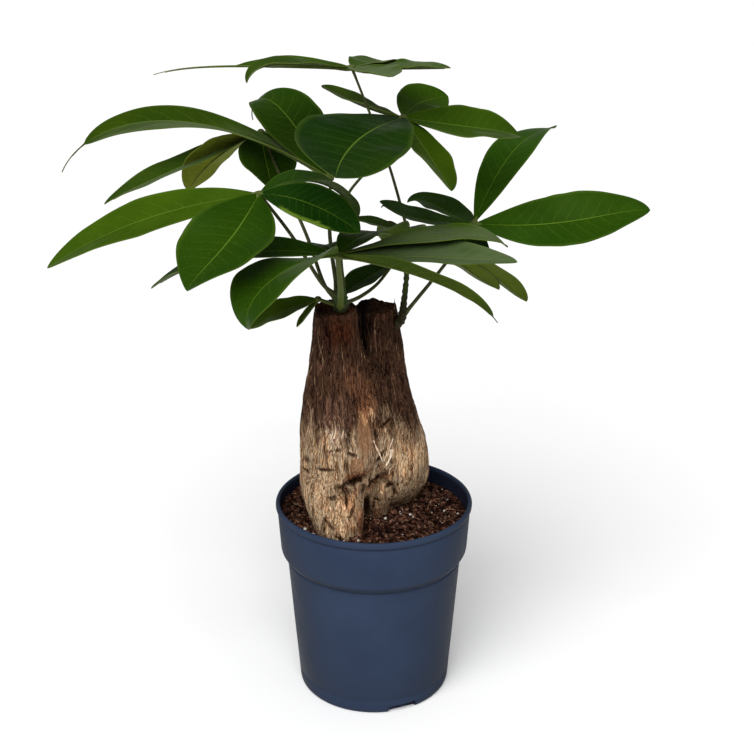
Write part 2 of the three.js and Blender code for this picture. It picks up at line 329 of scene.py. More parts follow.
def newGroup(name, takes, gives):
    group = bpy.data.node_groups.new(name, "ShaderNodeTree")
    kinds = {"f": "NodeSocketFloat", "v": "NodeSocketVector"}
    for label, kind, value in takes:
        socket = group.interface.new_socket(name=label, in_out="INPUT", socket_type=kinds[kind])
        if value is not None:
            socket.default_value = value
    for label, kind in gives:
        group.interface.new_socket(name=label, in_out="OUTPUT", socket_type=kinds[kind])
    return group, group.nodes.new("NodeGroupInput").outputs, group.nodes.new("NodeGroupOutput").inputs


def useGroup(tree, group, inputs):
    return addNode(tree, "Group", inputs, node_tree=group).outputs


def newMaterial(name, **sockets):
    material = bpy.data.materials.new(name)
    material.use_nodes = True
    tree = material.node_tree
    for key, value in sockets.items():
        tree.nodes["Principled BSDF"].inputs[key.replace("_", " ")].default_value = value
    return material, tree, addNode(tree, "TexCoord").outputs["Object"]


# links what varies over the surface: the colour, a relief with its strength and its depth in metres, and
# the roughness
def dress(material, colour, relief=None, strength=1.0, depth=0.001, roughness=None):
    tree = material.node_tree
    shader = tree.nodes["Principled BSDF"]
    tree.links.new(colour, shader.inputs["Base Color"])
    if relief is not None:
        bump = addNode(tree, "Bump", {"Height": relief, "Strength": strength, "Distance": depth}).outputs[0]
        tree.links.new(bump, shader.inputs["Normal"])
    if roughness is not None:
        tree.links.new(roughness, shader.inputs["Roughness"])
    return material


# soft clouds with fine specks in them
def buildMottle():
    group, takes, gives = newGroup(
        "mottle", [("Vector", "v", None), ("Scale", "f", 100.0), ("Fine", "f", 6.0)],
        [("Cloud", "f"), ("Speck", "f"), ("Height", "f")])
    cloud = noiseOf(group, takes["Vector"], takes["Scale"], 3.0)
    speck = noiseOf(group, takes["Vector"], times(group, takes["Scale"], takes["Fine"]), 2.0, 0.7)
    group.links.new(remap(group, cloud, 0.3, 0.7), gives["Cloud"])
    group.links.new(remap(group, speck, 0.42, 0.68), gives["Speck"])
    group.links.new(calc(group, "MULTIPLY_ADD", speck, 0.4, cloud), gives["Height"])
    return group


# wavy threads that run up the piece, with a net of long thin splits between them
def buildFibres():
    group, takes, gives = newGroup(
        "fibres", [("Vector", "v", None), ("Across", "f", 1200.0), ("Up", "f", 90.0), ("Wander", "f", 0.004),
                   ("Split Width", "f", 0.06)],
        [("Thread", "f"), ("Split", "f"), ("Strand", "f"), ("Height", "f")])

    def crest(noise, wide, narrow):  # thin lines where the noise passes its middle value
        return remap(group, calc(group, "ABSOLUTE", calc(group, "SUBTRACT", noise, 0.5)), wide, narrow)

    drift = addNode(group, "TexNoise", {"Vector": takes["Vector"], "Scale": 90.0, "Detail": 2.0}).outputs[1]
    drift = vectorCalc(group, "SUBTRACT", drift, (0.5, 0.5, 0.5))
    drift = addNode(group, "VectorMath", {0: drift, "Scale": takes["Wander"]}, operation="SCALE").outputs[0]
    pace = addNode(group, "CombineXYZ", {0: takes["Across"], 1: takes["Across"], 2: takes["Up"]}).outputs[0]
    line = vectorCalc(group, "MULTIPLY", vectorCalc(group, "ADD", takes["Vector"], drift), pace)
    slow = vectorCalc(group, "MULTIPLY", line, (0.42, 0.42, 0.5))
    other = vectorCalc(group, "ADD", line, (31.0, 17.0, 5.0))  # the same pattern, but elsewhere in it
    thread = noiseOf(group, line, 1.0, 3.0, 0.65)
    split = remap(group, cellBorders(group, slow), 0.0, takes["Split Width"], 1.0, 0.0)
    split = times(group, split, remap(group, noiseOf(group, slow, 0.7, 2.0), 0.4, 0.56))
    strand = calc(group, "MAXIMUM", crest(noiseOf(group, line, 0.55, 2.0, 0.6), 0.07, 0.008),
                  crest(noiseOf(group, other, 0.8, 1.0), 0.05, 0.006))
    strand = times(group, strand, remap(group, noiseOf(group, other, 0.35, 2.0), 0.36, 0.58))
    height = calc(group, "SUBTRACT", thread, times(group, split, 0.5))
    group.links.new(remap(group, thread, 0.46, 0.58), gives["Thread"])
    group.links.new(split, gives["Split"])
    group.links.new(strand, gives["Strand"])
    group.links.new(calc(group, "MULTIPLY_ADD", strand, 0.3, height), gives["Height"])
    return group


# an oval patch with a ragged border; it leans about Y by its tilt, and soft is its border's share
def buildSpot():
    group, takes, gives = newGroup(
        "spot", [("Vector", "v", None), ("Ragged", "f", 0.5), ("Centre", "v", None), ("Size", "v", None),
                 ("Tilt", "f", 0.0), ("Soft", "f", 0.5), ("Share", "f", 1.0)],
        [("Mask", "f")])
    away = vectorCalc(group, "SUBTRACT", takes["Vector"], takes["Centre"])
    leaning = addNode(group, "VectorRotate", {"Vector": away, "Angle": takes["Tilt"]},
                      rotation_type="Y_AXIS").outputs[0]
    far = lengthOf(group, vectorCalc(group, "DIVIDE", leaning, takes["Size"]))
    far = calc(group, "ADD", far, calc(group, "MULTIPLY_ADD", takes["Ragged"], 0.9, -0.45))
    mask = remap(group, far, 1.0, calc(group, "SUBTRACT", 1.0, takes["Soft"]))
    group.links.new(times(group, mask, takes["Share"]), gives["Mask"])
    return group


# a blade's midrib and its paired side veins: U runs from root to tip, V across
def buildVenation():
    group, takes, gives = newGroup(
        "venation", [("UV", "v", None), ("Pairs", "f", 13.0), ("Rib", "f", 0.05), ("Vein", "f", 0.07)],
        [("Midrib", "f"), ("Veins", "f"), ("Net", "f"), ("Height", "f")])
    u, v, _ = addNode(group, "SeparateXYZ", {0: takes["UV"]}).outputs
    side = calc(group, "MULTIPLY_ADD", v, 2.0, -1.0)
    out = calc(group, "ABSOLUTE", side)
    lean = times(group, calc(group, "POWER", out, 1.25), 0.13)
    phase = calc(group, "MULTIPLY_ADD", noiseOf(group, takes["UV"], 7.0, 2.0), 0.035,
                 calc(group, "SUBTRACT", u, lean))
    phase = times(group, phase, takes["Pairs"])
    phase = calc(group, "MULTIPLY_ADD", calc(group, "GREATER_THAN", side, 0.0), 0.45, phase)
    near = calc(group, "ABSOLUTE", calc(group, "SUBTRACT", calc(group, "FRACT", phase), 0.5))
    width = times(group, takes["Vein"], calc(group, "MULTIPLY_ADD", out, -0.7, 1.0))
    ribWidth = times(group, takes["Rib"], calc(group, "MULTIPLY_ADD", u, -0.6, 1.0))
    veins = times(group, remap(group, near, 0.0, width, 1.0, 0.0), remap(group, out, 1.0, 0.75))
    rib = remap(group, out, 0.0, ribWidth, 1.0, 0.0)
    net = remap(group, cellBorders(group, stretched(group, takes["UV"], (60, 22, 1))), 0.12, 0.0)
    height = calc(group, "MULTIPLY_ADD", net, 0.15, times(group, veins, 0.6))
    group.links.new(rib, gives["Midrib"])
    group.links.new(veins, gives["Veins"])
    group.links.new(net, gives["Net"])
    group.links.new(calc(group, "ADD", height, rib), gives["Height"])
    return group


mottle = buildMottle()
fibres = buildFibres()
spot = buildSpot()
venation = buildVenation()


# a piece's dictionary holds what follows the place here, as its mottle and its threads
def mottleOf(tree, where, scale, fine):
    return useGroup(tree, mottle, {"Vector": where, "Scale": scale, "Fine": fine})


def fibresOf(tree, where, across, up, wander, splitWidth=0.06):
    return useGroup(tree, fibres, {"Vector": where, "Across": across, "Up": up, "Wander": wander,
                                   "Split Width": splitWidth})


print("shared effects ready")


# pot: turned profile with a rolled rim, a groove under it, a tall collar and drain notches

pot = {
    "sides": 180, "creaseAngle": 32,
    "profile": [  # radius and height, from the base up the outside, over the rim and down inside
        (4, 0), (30, 0), (44.6, 0), (46.2, 0.35), (46.9, 1.2), (47.15, 2.2), (47.66, 8.6), (47.5, 9.0),
        (47.72, 9.5), (50.1, 40), (52.4, 71), (53.55, 85.6), (53.6, 86.2), (53.1, 86.7), (52.95, 87.3),
        (53.4, 87.8), (54.6, 89.0), (55.8, 90.8), (56.7, 92.0), (57.2, 92.9), (57.45, 94.2),
        (58.1, 104), (58.95, 117.6), (58.7, 118.3), (58.45, 118.9), (58.7, 119.5), (59.2, 119.9),
        (59.75, 120.4), (60.05, 121.3), (60.05, 122.4), (59.7, 123.3), (59.1, 123.85), (58.5, 124),
        (57.9, 123.8), (57.5, 123.3), (57.4, 122.2), (57.3, 118), (56.2, 93.6), (52.6, 87.4),
        (45.8, 1.9), (20, 1.8), (4, 1.8)],
    "notch": {
        "count": 3, "firstTurn": -68, "reach": 48, "width": 18, "height": 4.5, "depth": 9, "round": 1.2},
    "mouldingMark": {"at": (-5.2, -58.0, 104.5), "radius": 0.9},
    "mottle": (26.0, 60.0), "bump": (0.12, 0.0004), "roughness": (0.5, 0.6),
    "insideShade": {  # in metres: how far out, from which height, up to which one; the wall leans as it rises
        "reach": (0.0522, 0.0516), "starts": (0.11, 0.1125), "ends": (0.1222, 0.1212), "lean": -0.053},
    "tones": {
        "deep": shade(38, 49, 70), "fresh": shade(43, 55, 76), "fleck": shade(58, 68, 84),
        "foot": shade(34, 44, 63), "scuff": shade(62, 72, 90), "glancingShade": shade(32, 37, 48),
        "inside": shade(29, 32, 47)},
}


def potPlastic(tones):
    material, tree, where = newMaterial("slateBluePlastic", Roughness=0.55, IOR=1.46, Specular_IOR_Level=0.07)
    spots = mottleOf(tree, where, *pot["mottle"])
    height = addNode(tree, "SeparateXYZ", {0: where}).outputs[2]
    scuff = noiseOf(tree, stretched(tree, where, (30, 30, 420)), 1.0, 2.0)
    facing = addNode(tree, "LayerWeight", {"Blend": 0.5}).outputs["Facing"]
    reach = lengthOf(tree, vectorCalc(tree, "MULTIPLY", where, (1, 1, 0)))
    dusk = pot["insideShade"]
    reach = calc(tree, "MULTIPLY_ADD", height, dusk["lean"], reach)
    inside = times(tree, remap(tree, reach, *dusk["reach"]), remap(tree, height, *dusk["starts"]))
    inside = times(tree, inside, remap(tree, height, *dusk["ends"]))
    colour = blend(tree, spots["Cloud"], tones["deep"], tones["fresh"])
    colour = layered(tree, colour, (spots["Speck"], 0.1, tones["fleck"]),
                     (remap(tree, height, 0.09, 0.0), 0.35, tones["foot"]),
                     (remap(tree, scuff, 0.62, 0.75), 0.12, tones["scuff"]),
                     # painted shade: the wall darkens towards its sides, where it turns away from view
                     (remap(tree, facing, 0.25, 0.85), 0.8, tones["glancingShade"]),
                     (inside, 1, tones["inside"]))
    return dress(material, colour, spots["Height"], *pot["bump"],
                 remap(tree, spots["Cloud"], 0.0, 1.0, *pot["roughness"]))


def makePot():
    body = loft("nurseryPot", pot["sides"], turned(pot["profile"]))
    notch = pot["notch"]
    for i in range(notch["count"]):
        turn = math.radians(notch["firstTurn"] + i * 360 / notch["count"])
        deselectAll()
        bpy.ops.mesh.primitive_cube_add(
            size=1, location=(notch["reach"] * mm * math.cos(turn), notch["reach"] * mm * math.sin(turn), 0),
            rotation=(0, 0, turn), scale=(notch["depth"] * mm, notch["width"] * mm, notch["height"] * 2 * mm))
        cutter = named("notchCutter")
        modify(cutter, "BEVEL", width=notch["round"] * mm, segments=3)
        modify(body, "BOOLEAN", object=cutter, operation="DIFFERENCE", solver="EXACT")
        bpy.data.objects.remove(cutter)
    mark = pot["mouldingMark"]
    deselectAll()
    bpy.ops.mesh.primitive_uv_sphere_add(segments=16, ring_count=10, radius=mark["radius"] * mm,
                                         location=[c * mm for c in mark["at"]], scale=(1, 0.35, 0.8))
    nub = named("mouldingMark")
    settle(nub)
    body = fuse("nurseryPot", [body, nub])
    return finishPiece(body, potPlastic(pot["tones"]), "pot_plastic", "pot", angle=pot["creaseAngle"])


makePot()
print("pot done")


# soil: a rough bed with crumbs, perlite and coir fibres on it

soil = {
    "top": 115, "slope": -0.035, "edge": 56.6, "inset": 2.5, "cells": 190,
    "profile": [(56.3, 93.5), (52.1, 87.2), (45.4, 2.2)],  # radius and height, from the bed's edge down
    "lift": 0.6, "lumpSizes": (7.0, 3.2), "gritSizes": (1.5, 0.8), "shiftSize": 1.3,
    "crumbs": {"count": 900, "sizes": (0.45, 2.3), "flatness": 0.45, "lift": 0.35, "seed": 100},
    "perlite": {"count": 86, "sizes": (0.35, 1.15), "flatness": 0.7, "lift": 0.7, "seed": 900},
    "fibres": {
        "count": 112, "length": (3, 12), "steps": 9, "thin": 0.11, "thicker": 0.1, "inset": 4, "seed": 5},
    "mottle": (260.0, 4.5), "bump": (1.0, 0.0014),
    "perliteMottle": (700.0, 4.0), "perliteBump": (0.7, 0.0004),
    "tones": {  # dark, brown and pale, and how much shows of the pale
        "peat": (shade(7, 3, 2), shade(64, 32, 23), shade(126, 90, 72), 0.45),
        "crumb": (shade(13, 5, 3), shade(92, 50, 35), shade(158, 122, 102), 0.5),
        "fibre": (shade(96, 62, 42), shade(158, 120, 88), shade(196, 168, 140), 0.4),
        "perlite": (shade(178, 170, 158), shade(226, 222, 214), shade(120, 98, 80))},  # shaded, white, stain
}


def crumbly(name, dark, brown, pale, paleShare):
    material, tree, where = newMaterial(name, Roughness=0.95, Specular_IOR_Level=0.03)
    spots = mottleOf(tree, where, *soil["mottle"])
    wet = noiseOf(tree, where, 60.0, 3.0)
    grit = noiseOf(tree, where, 340.0, 3.0, 0.7)
    colour = layered(tree, blend(tree, spots["Cloud"], dark, brown), (spots["Speck"], paleShare, pale),
                     # where the grit noise is low, the dark tone is painted shade in the small gaps between
                     # crumbs
                     (remap(tree, wet, 0.45, 0.7), 0.6, dark), (remap(tree, grit, 0.53, 0.44), 0.9, dark),
                     (remap(tree, grit, 0.56, 0.66), paleShare, pale))
    return dress(material, colour, spots["Height"], *soil["bump"])


def perliteWhite(shaded, white, stain):
    material, tree, where = newMaterial("perliteWhite", Roughness=0.85)
    spots = mottleOf(tree, where, *soil["perliteMottle"])
    colour = layered(tree, blend(tree, spots["Cloud"], shaded, white), (spots["Speck"], 0.35, stain))
    return dress(material, colour, spots["Height"], *soil["perliteBump"])


def soilHeight(places):
    wide, small = soil["lumpSizes"]
    lump = grain(places, 1 / wide, 1) + grain(places, 1 / small, 2) * 0.7
    return soil["top"] + soil["lift"] + soil["slope"] * places[:, 0] + lump


def bedAt(x, y):
    return soilHeight(np.array([[x, y, 0]]))[0]


# a random place on the bed, in from its edge
def placeOnBed(rng, inset):
    turn = rng.random() * 2 * math.pi
    away = (soil["edge"] - inset) * math.sqrt(rng.random())
    return away * math.cos(turn), away * math.sin(turn)


def makeSoil():
    edge = soil["edge"]
    deselectAll()
    bpy.ops.mesh.primitive_grid_add(x_subdivisions=soil["cells"], y_subdivisions=soil["cells"], size=2)
    bed = named("soilBed")
    x, y, _ = readPoints(bed).T
    disc = np.stack([x * np.sqrt(1 - y * y / 2), y * np.sqrt(1 - x * x / 2), 0 * x], 1) * edge
    coarse, fine = soil["gritSizes"]
    grit = grain(disc, 1 / coarse, 3) * 0.5 + grain(disc, 1 / fine, 4) * 0.35
    disc[:, 2] = soilHeight(disc) + grit
    shift = 1 / soil["shiftSize"]
    disc[:, :2] += np.stack([grain(disc, shift, 5), grain(disc, shift, 6)], 1) * 0.25
    reach = np.hypot(disc[:, 0], disc[:, 1])
    disc[:, :2] *= np.minimum(1, edge / np.maximum(reach, 1e-6))[:, None]
    writePoints(bed, disc * mm)
    pick(bed)
    bpy.ops.object.mode_set(mode="EDIT")
    bpy.ops.mesh.select_mode(type="EDGE")
    bpy.ops.mesh.select_all(action="DESELECT")
    bpy.ops.mesh.select_non_manifold(use_wire=False, use_multi_face=False, use_non_contiguous=False,
                                     use_verts=False)
    extrudeRings(turned([(edge, soil["top"])] + soil["profile"]))
    bpy.ops.mesh.edge_face_add()
    closeMesh()
    return finishPiece(bed, crumbly("peatAndCoir", *soil["tones"]["peat"]), "soil", "soil")


# one rough crumb, copied with its own turn, tip, size and place on the bed
def scatter(name, material, count, sizes, flatness, lift, seed):
    rng = random.Random(seed)
    deselectAll()
    bpy.ops.mesh.primitive_ico_sphere_add(subdivisions=2, radius=1)
    first = named(name + "Form")
    shape = readPoints(first)
    copies = []
    for i in range(count):
        x, y = placeOnBed(rng, soil["inset"])
        size = sizes[0] + (sizes[1] - sizes[0]) * rng.random() ** 2.2
        rough = shape * (1 + 0.32 * grain(shape, 1.7, seed + i)[:, None])
        rough *= np.array([1, 0.6 + 0.4 * rng.random(), flatness + (1 - flatness) * rng.random()])
        turn, tip = rng.random() * 6.28, (rng.random() - 0.5) * 1.4
        lie = np.array(Matrix.Rotation(turn, 3, "Z") @ Matrix.Rotation(tip, 3, "X"))
        twin = copyOf(first)
        writePoints(twin, (rough * size @ lie.T + (x, y, bedAt(x, y) + size * lift)) * mm)
        copies.append(twin)
    bpy.data.objects.remove(first)
    return finishPiece(fuse(name, copies), material, "soil")


def makeFibres():
    fibre = soil["fibres"]
    rng = random.Random(fibre["seed"])
    steps = fibre["steps"]
    low, high = fibre["length"]
    lines = []
    for i in range(fibre["count"]):
        x, y = placeOnBed(rng, fibre["inset"])
        heading = rng.random() * 2 * math.pi
        pace = (low + (high - low) * rng.random() ** 2) / steps
        curve = (rng.random() - 0.5) * 0.25
        line, radii = [], []
        for step in range(steps):
            t = step / (steps - 1)
            if math.hypot(x, y) < soil["edge"] - 1.5:
                line.append((x, y, bedAt(x, y) + 0.9 + 1.1 * math.sin(math.pi * t) * rng.random()))
                radii.append(fibre["thin"] + fibre["thicker"] * (1 - abs(2 * t - 1)) * (1 + (i % 5 == 0)))
            heading += curve + (rng.random() - 0.5) * 0.25
            x += pace * math.cos(heading)
            y += pace * math.sin(heading)
        if len(line) > 3:
            lines.append((line, radii))
    material = crumbly("coirFibre", *soil["tones"]["fibre"])
    return finishPiece(makeTubes("coirFibres", lines, 6), material, "soil")


makeSoil()
scatter("coirCrumbs", crumbly("coirCrumb", *soil["tones"]["crumb"]), **soil["crumbs"])
scatter("perliteBits", perliteWhite(*soil["tones"]["perlite"]), **soil["perlite"])
makeFibres()
print("soil done")


# trunk: stems grown together, fibrous bark, scars and torn strips

trunk = {
    "sides": 64, "rowsPerKey": 5, "voxel": 0.76, "smoothing": {"factor": 0.6, "iterations": 6},
    "stems": {
        "left": {
            "z": [95, 108, 118, 130, 145, 165, 190, 215, 235, 251],
            "x": [-20, -20, -20.3, -20.5, -20, -20, -20.5, -21.3, -22, -22],
            "y": [6, 5, 4, 1, -3, -6, -8, -10, -12, -13],
            "rx": [17, 19.5, 21.5, 24.5, 25.5, 24, 20.5, 16.7, 13.3, 12.5],
            "ry": [18, 21, 23, 26, 28, 27, 23, 19, 17, 15.5]},
        "right": {
            "z": [95, 106, 115, 124, 135, 150, 170, 195, 220, 245],
            "x": [8.5, 9, 9.2, 11, 12, 11.7, 9, 5.5, 2.8, 1],
            "y": [20, 21, 21, 18, 15, 13, 11, 9, 8, 8],
            "rx": [10, 13, 16.5, 19, 21, 20.8, 19.5, 16.5, 13.8, 11.8],
            "ry": [10, 12, 15, 22, 26, 26, 23, 19, 16, 14]},
        "frontRoot": {
            "z": [95, 106, 116, 126, 138, 152, 168],
            "x": [-19.5, -20, -21, -22.6, -24.5, -25, -22],
            "y": [-20, -23, -24.5, -23.5, -20.5, -16, -11],
            "rx": [9.5, 12, 14.3, 16.4, 17.8, 17, 11],
            "ry": [11, 14, 16.5, 17, 16, 14, 8]},
        "middle": {
            "z": [95, 110, 125, 138, 148, 160, 180, 200, 222],
            "x": [2, 2, 2, 1.5, 1, 0, -1, -2, -4],
            "y": [14, 15, 15, 13, 7, 4, 3, 2, 1],
            "rx": [8, 10, 12, 15, 17, 18, 17, 15, 8],
            "ry": [7, 9, 13, 17, 24, 25, 24, 21, 12]},
        "knob": {
            "z": [95, 108, 120, 130, 138],
            "x": [1.5, 2, 2.5, 3.5, 5],
            "y": [4, 1, -2, -3, 0],
            "rx": [5, 6, 6.5, 6, 4],
            "ry": [7, 9, 10, 9, 6]},
        "backRoot": {
            "z": [95, 106, 118, 132, 150],
            "x": [-10, -10, -9, -8, -6],
            "y": [30, 33, 32, 27, 20],
            "rx": [8, 12, 14, 14, 9],
            "ry": [8, 10, 11, 12, 8]},
    },
    "ridge": {"size": 2.1, "stretch": 0.13, "height": 0.34},
    "fine": {"size": 1.3, "stretch": 0.16, "height": 0.24},
    "lumps": {"sizes": (11, 5.5), "height": 0.45}, "wander": {"size": 18, "far": 3},
    "cutTop": {"from": 241, "to": 246, "rough": 0.9},
    "notch": {  # the shade between the two cut tops, which leans and widens as it rises
        "at": -5.4, "lean": 1.2, "width": 1.8, "widens": 3.0, "rises": (210, 235), "starts": (204, 214),
        "deepest": 0.95},
    "rightTop": {  # the right top stands behind the left one and lies in its shade
        "across": (-6, -2), "starts": (218, 236), "ends": (244, 239), "behind": (-13, -8), "shade": 0.45},
    "hollows": [  # place, half width, half height and depth
        (1, -18, 141, 8, 3, 2.5), (-8, -28, 150, 7, 2.4, 1.8), (12, -11, 134, 3, 4, 2.0),
        (-4.5, -14, 126, 3.5, 10, 3), (-38, -17, 157, 2.4, 2.0, 0.7), (3, -20, 181, 4, 3, 0.9),
        (6, -18, 155, 2.6, 2.4, 1.2), (-30, -18, 251, 5, 4, 4.0), (-32, -28, 250, 3, 3, 1.5),
        (-8, -14, 250, 2, 4, 1.2)],
    "bulges": [  # the same, raised
        (-10, -31, 160, 6, 8, 0.8), (-8, -29, 174, 5, 16, 0.5), (-14, -20, 251, 3.2, 4, 1.8),
        (5, -11, 134, 4, 4, 1.2), (-16, -34, 138, 5, 6, 0.8)],
    "creases": [  # start, end, half width and depth
        ((-22.6, -34.2, 141.5), (-19.7, -32.4, 145.1), 1.1, 1.8),
        ((-19.7, -32.4, 145.1), (-15.1, -30.3, 147.3), 1.2, 2.2),
        ((-15.1, -30.3, 147.3), (-10, -28.7, 148.2), 1.6, 2.6),
        ((-10, -28.7, 148.2), (-6.2, -23.7, 143), 1.4, 2.4),
        ((-6.2, -23.7, 143), (-5.3, -15.5, 132.4), 1.2, 2.0),
        ((-5.3, -15.5, 132.4), (-4.5, -11, 117), 1.3, 1.8),
        ((-15.1, -31.1, 144.5), (-15.8, -34.2, 137.6), 0.8, 1.2),
        ((-15.8, -34.2, 137.6), (-10, -33.2, 125.9), 0.8, 1.2),
        ((-29, -38, 130), (-24, -41, 125), 0.8, 0.9), ((-5.2, -24.9, 148.6), (0.7, -16, 142.5), 1.8, 2.4),
        ((0.7, -16, 142.5), (6.7, -10.4, 140), 1.8, 2.4), ((6.7, -10.4, 140), (11.5, -9.3, 136), 1.6, 2.0),
        ((-42, -20, 152), (-37, -27, 155.5), 0.9, 0.8), ((-33, -28, 157), (-24, -31, 157.2), 0.9, 1.1),
        ((2, -20, 184), (11, -16, 177), 0.9, 0.8)],
    "tones": {
        "dry": shade(127, 89, 54), "dryDeep": shade(102, 67, 38), "dryStrand": shade(246, 216, 178),
        "wetLeft": shade(36, 20, 13), "wetRight": shade(22, 9, 5), "wetPatch": shade(30, 15, 9),
        "wetTop": shade(50, 21, 11), "wetStrand": shade(124, 88, 66), "notch": shade(12, 6, 4),
        "lit": (3.6, 4.4, 6.0, 1), "dim": (0.12, 0.085, 0.06, 1)},  # these two multiply what they lie on
    "mottle": (60.0, 9.0), "ragged": (150, 150, 40), "bump": (1.0, 0.0014),
    "threadNets": {  # pace across and up, wander, width of the splits
        "fine": (1080.0, 66.0, 0.004, 0.24), "hairs": (1550.0, 95.0, 0.006, 0.18),
        "broad": (540.0, 44.0, 0.009, 0.08)},
    "wetFrom": (0.2, 0.219),  # in metres: dry and pale below the first height, wet and dark above the second
    "wetBorder": {"ragged": 0.05, "lean": -0.05, "right": (0.0, 0.022, 0.0, 0.013), "threads": 0.009},
    # a kind's tone multiplies the bark's own; a mark is a place, half sizes, tilt, softness, share
    "marks": {
        "ash": ((2.4, 2.55, 2.8, 1), [
            ((-22, -31, 191), (13, 14, 17), 0, 0.9, 1.0)]),
        "umber": ((2.65, 2.4, 2.1, 1), [
            ((-6, -24, 202), (9, 12, 22), 6, 0.9, 0.9), ((-4, -24, 190), (9, 12, 12), 0, 0.9, 0.7),
            ((-14, -25, 214), (7, 10, 14), 4, 0.9, 0.5)]),
        "fuzz": ((1.42, 1.5, 1.62, 1), [
            ((-23, -31, 176), (11, 10, 9), 0, 0.9, 0.9), ((-14, -31, 166), (8, 10, 10), 0, 0.9, 0.7)]),
        "smooth": (shade(172, 124, 88), [
            ((-5, -28, 176), (6.4, 11, 18), 4, 0.6, 0.75), ((-10, -31, 160), (6, 9, 7.4), 0, 0.6, 0.75)]),
        # the last pale mark is a painted highlight on the top of the knob
        "pale": ((1.66, 1.6, 1.52, 1), [
            ((9, -14, 162), (10, 9, 16), -8, 0.9, 0.8), ((13, -12, 172), (4, 9, 10), 10, 0.9, 0.7),
            ((22, -6, 153), (14, 22, 17), 0, 0.9, 0.9), ((-30, -28, 146), (10, 12, 15), 0, 0.9, 0.6),
            ((-18, -38, 127), (15, 18, 18), 0, 0.8, 1.0), ((4.8, -11, 134.6), (4.4, 7, 3.4), 0, 0.5, 1.0)]),
        # besides the bark's own cracks, these paint the shade under the brow above the foot and round the
        # knob
        "crack": ((0.13, 0.09, 0.07, 1), [
            ((-15.8, -31, 160), (1.5, 8, 7), 8, 0.6, 0.8), ((-13, -31, 167.4), (5, 8, 1.5), -18, 0.6, 0.9),
            ((-9.6, -31, 152.6), (3, 8, 1.2), 30, 0.6, 0.7), ((9.6, -10, 138), (5, 9, 2.4), 34, 0.6, 1.0),
            ((-18.5, -32, 145.6), (6.5, 9, 2.5), -36, 0.6, 1.0),
            ((-24.4, -35, 141), (5, 9, 1.8), -8, 0.7, 0.9), ((-6.2, -24, 142), (1.8, 9, 5.6), -8, 0.6, 0.9),
            ((2.5, -12, 128.8), (4.4, 8, 1.8), -10, 0.6, 0.9),
            ((12.6, -10, 133), (1.9, 8, 4.4), 20, 0.6, 0.9), ((-16, -34, 139), (1.5, 8, 6), 4, 0.6, 0.9),
            ((-12.8, -34, 131), (1.5, 8, 7), -26, 0.6, 0.9),
            ((-26, -40, 126.5), (1.5, 9, 6.5), 42, 0.6, 0.9), ((-20, -40, 118), (1.3, 9, 5), 60, 0.6, 0.8),
            ((-40, -22, 153.6), (5, 9, 1.5), -14, 0.7, 0.9), ((-29, -31, 157.1), (8, 9, 1.5), 0, 0.7, 1.0),
            ((-20, -32, 170), (2.6, 7, 1.7), 0, 0.7, 0.9), ((-39.4, -24, 161), (2.8, 8, 3.6), 0, 0.8, 0.9),
            ((6.2, -18, 181), (7.5, 9, 1.3), 36, 0.6, 1.0), ((1.2, -20, 175), (1.2, 8, 6), 14, 0.6, 0.9),
            ((4, -20, 161), (1.5, 8, 7), -32, 0.6, 1.0), ((10.6, -17, 156), (1.6, 8, 4), 20, 0.6, 0.8)]),
        "shadow": ((0.1, 0.065, 0.05, 1), [
            ((-10, -28, 149), (11, 10, 3.3), 8, 0.6, 1.0), ((1, -18, 144.4), (10, 11, 3), 32, 0.6, 1.0),
            ((-4.6, -14, 124), (3.6, 14, 15), 2, 0.6, 1.0), ((-29, -18, 251), (6, 9, 4), 0, 0.6, 0.9)]),
        # painted red-brown shade under the brow and over the foot, on the bark's own red-brown
        "rust": ((0.52, 0.33, 0.27, 1), [
            ((-10, -28, 152), (14, 10, 5.4), 8, 0.8, 1.0), ((4, -15, 143.5), (13, 11, 6), 24, 0.8, 1.0),
            ((-8, -33, 124), (3, 10, 13), 4, 0.8, 1.0), ((1.4, -20, 168), (1.8, 8, 7), 6, 0.7, 0.9)]),
        "rose": ((1.24, 1.04, 0.96, 1), [
            ((-10, -30, 142.6), (2.2, 8, 5.4), -30, 0.6, 1.0), ((-17, -35, 137), (8, 8, 9), 0, 0.8, 1.0),
            ((-14, -36, 124), (5, 9, 8), 10, 0.8, 0.8), ((3.4, -19, 178.5), (3.4, 8, 4.4), -30, 0.5, 1.0),
            ((-14, -20, 250), (3.2, 6, 3.6), 0, 0.6, 0.8)]),
        # painted shade under the knob
        "plum": ((0.4, 0.24, 0.22, 1), [
            ((3, -12, 119), (6.5, 9, 8), 0, 0.7, 0.9)]),
        "wet": ((0.75, 0.5, 0.38, 1), [
            ((-18, -26, 240), (14, 16, 14), 0, 0.8, 1.0)]),
    },
    "cover": "smooth",  # the one kind of mark that covers the bark's own colour
    "dents": ("crack", "shadow"),  # the kinds that are also pressed in
    "threads": {  # they start between two heights, run down, and end above the soil
        "count": 420, "length": (6, 24), "steps": 12, "starts": (118, 246), "ends": 116.5, "axis": -8,
        "thin": 0.05, "thicker": 0.1, "raised": 0.08, "seed": 8,
        "tan": (shade(120, 88, 64), shade(176, 144, 112)), "brown": (shade(52, 34, 24), shade(82, 58, 42))},
    "stripTones": (shade(214, 184, 154), shade(250, 234, 212)), "stripThickness": 0.28,
    "torn": {"threads": (1700.0, 240.0, 0.004), "bump": (0.5, 0.0004), "split": shade(92, 62, 44)},
    "strips": [  # start, end, width at the root, how far the tip lifts
        ((-0.4, -22, 172), (5.4, -19, 157), 1.5, 1.4), ((10.7, -17, 164), (7.2, -18, 154.5), 2.6, 1.8),
        ((9.6, -15, 151), (9, -14, 147), 1.8, 0.8), ((11, -16, 171), (5.6, -19, 158), 0.9, 1.0)],
}
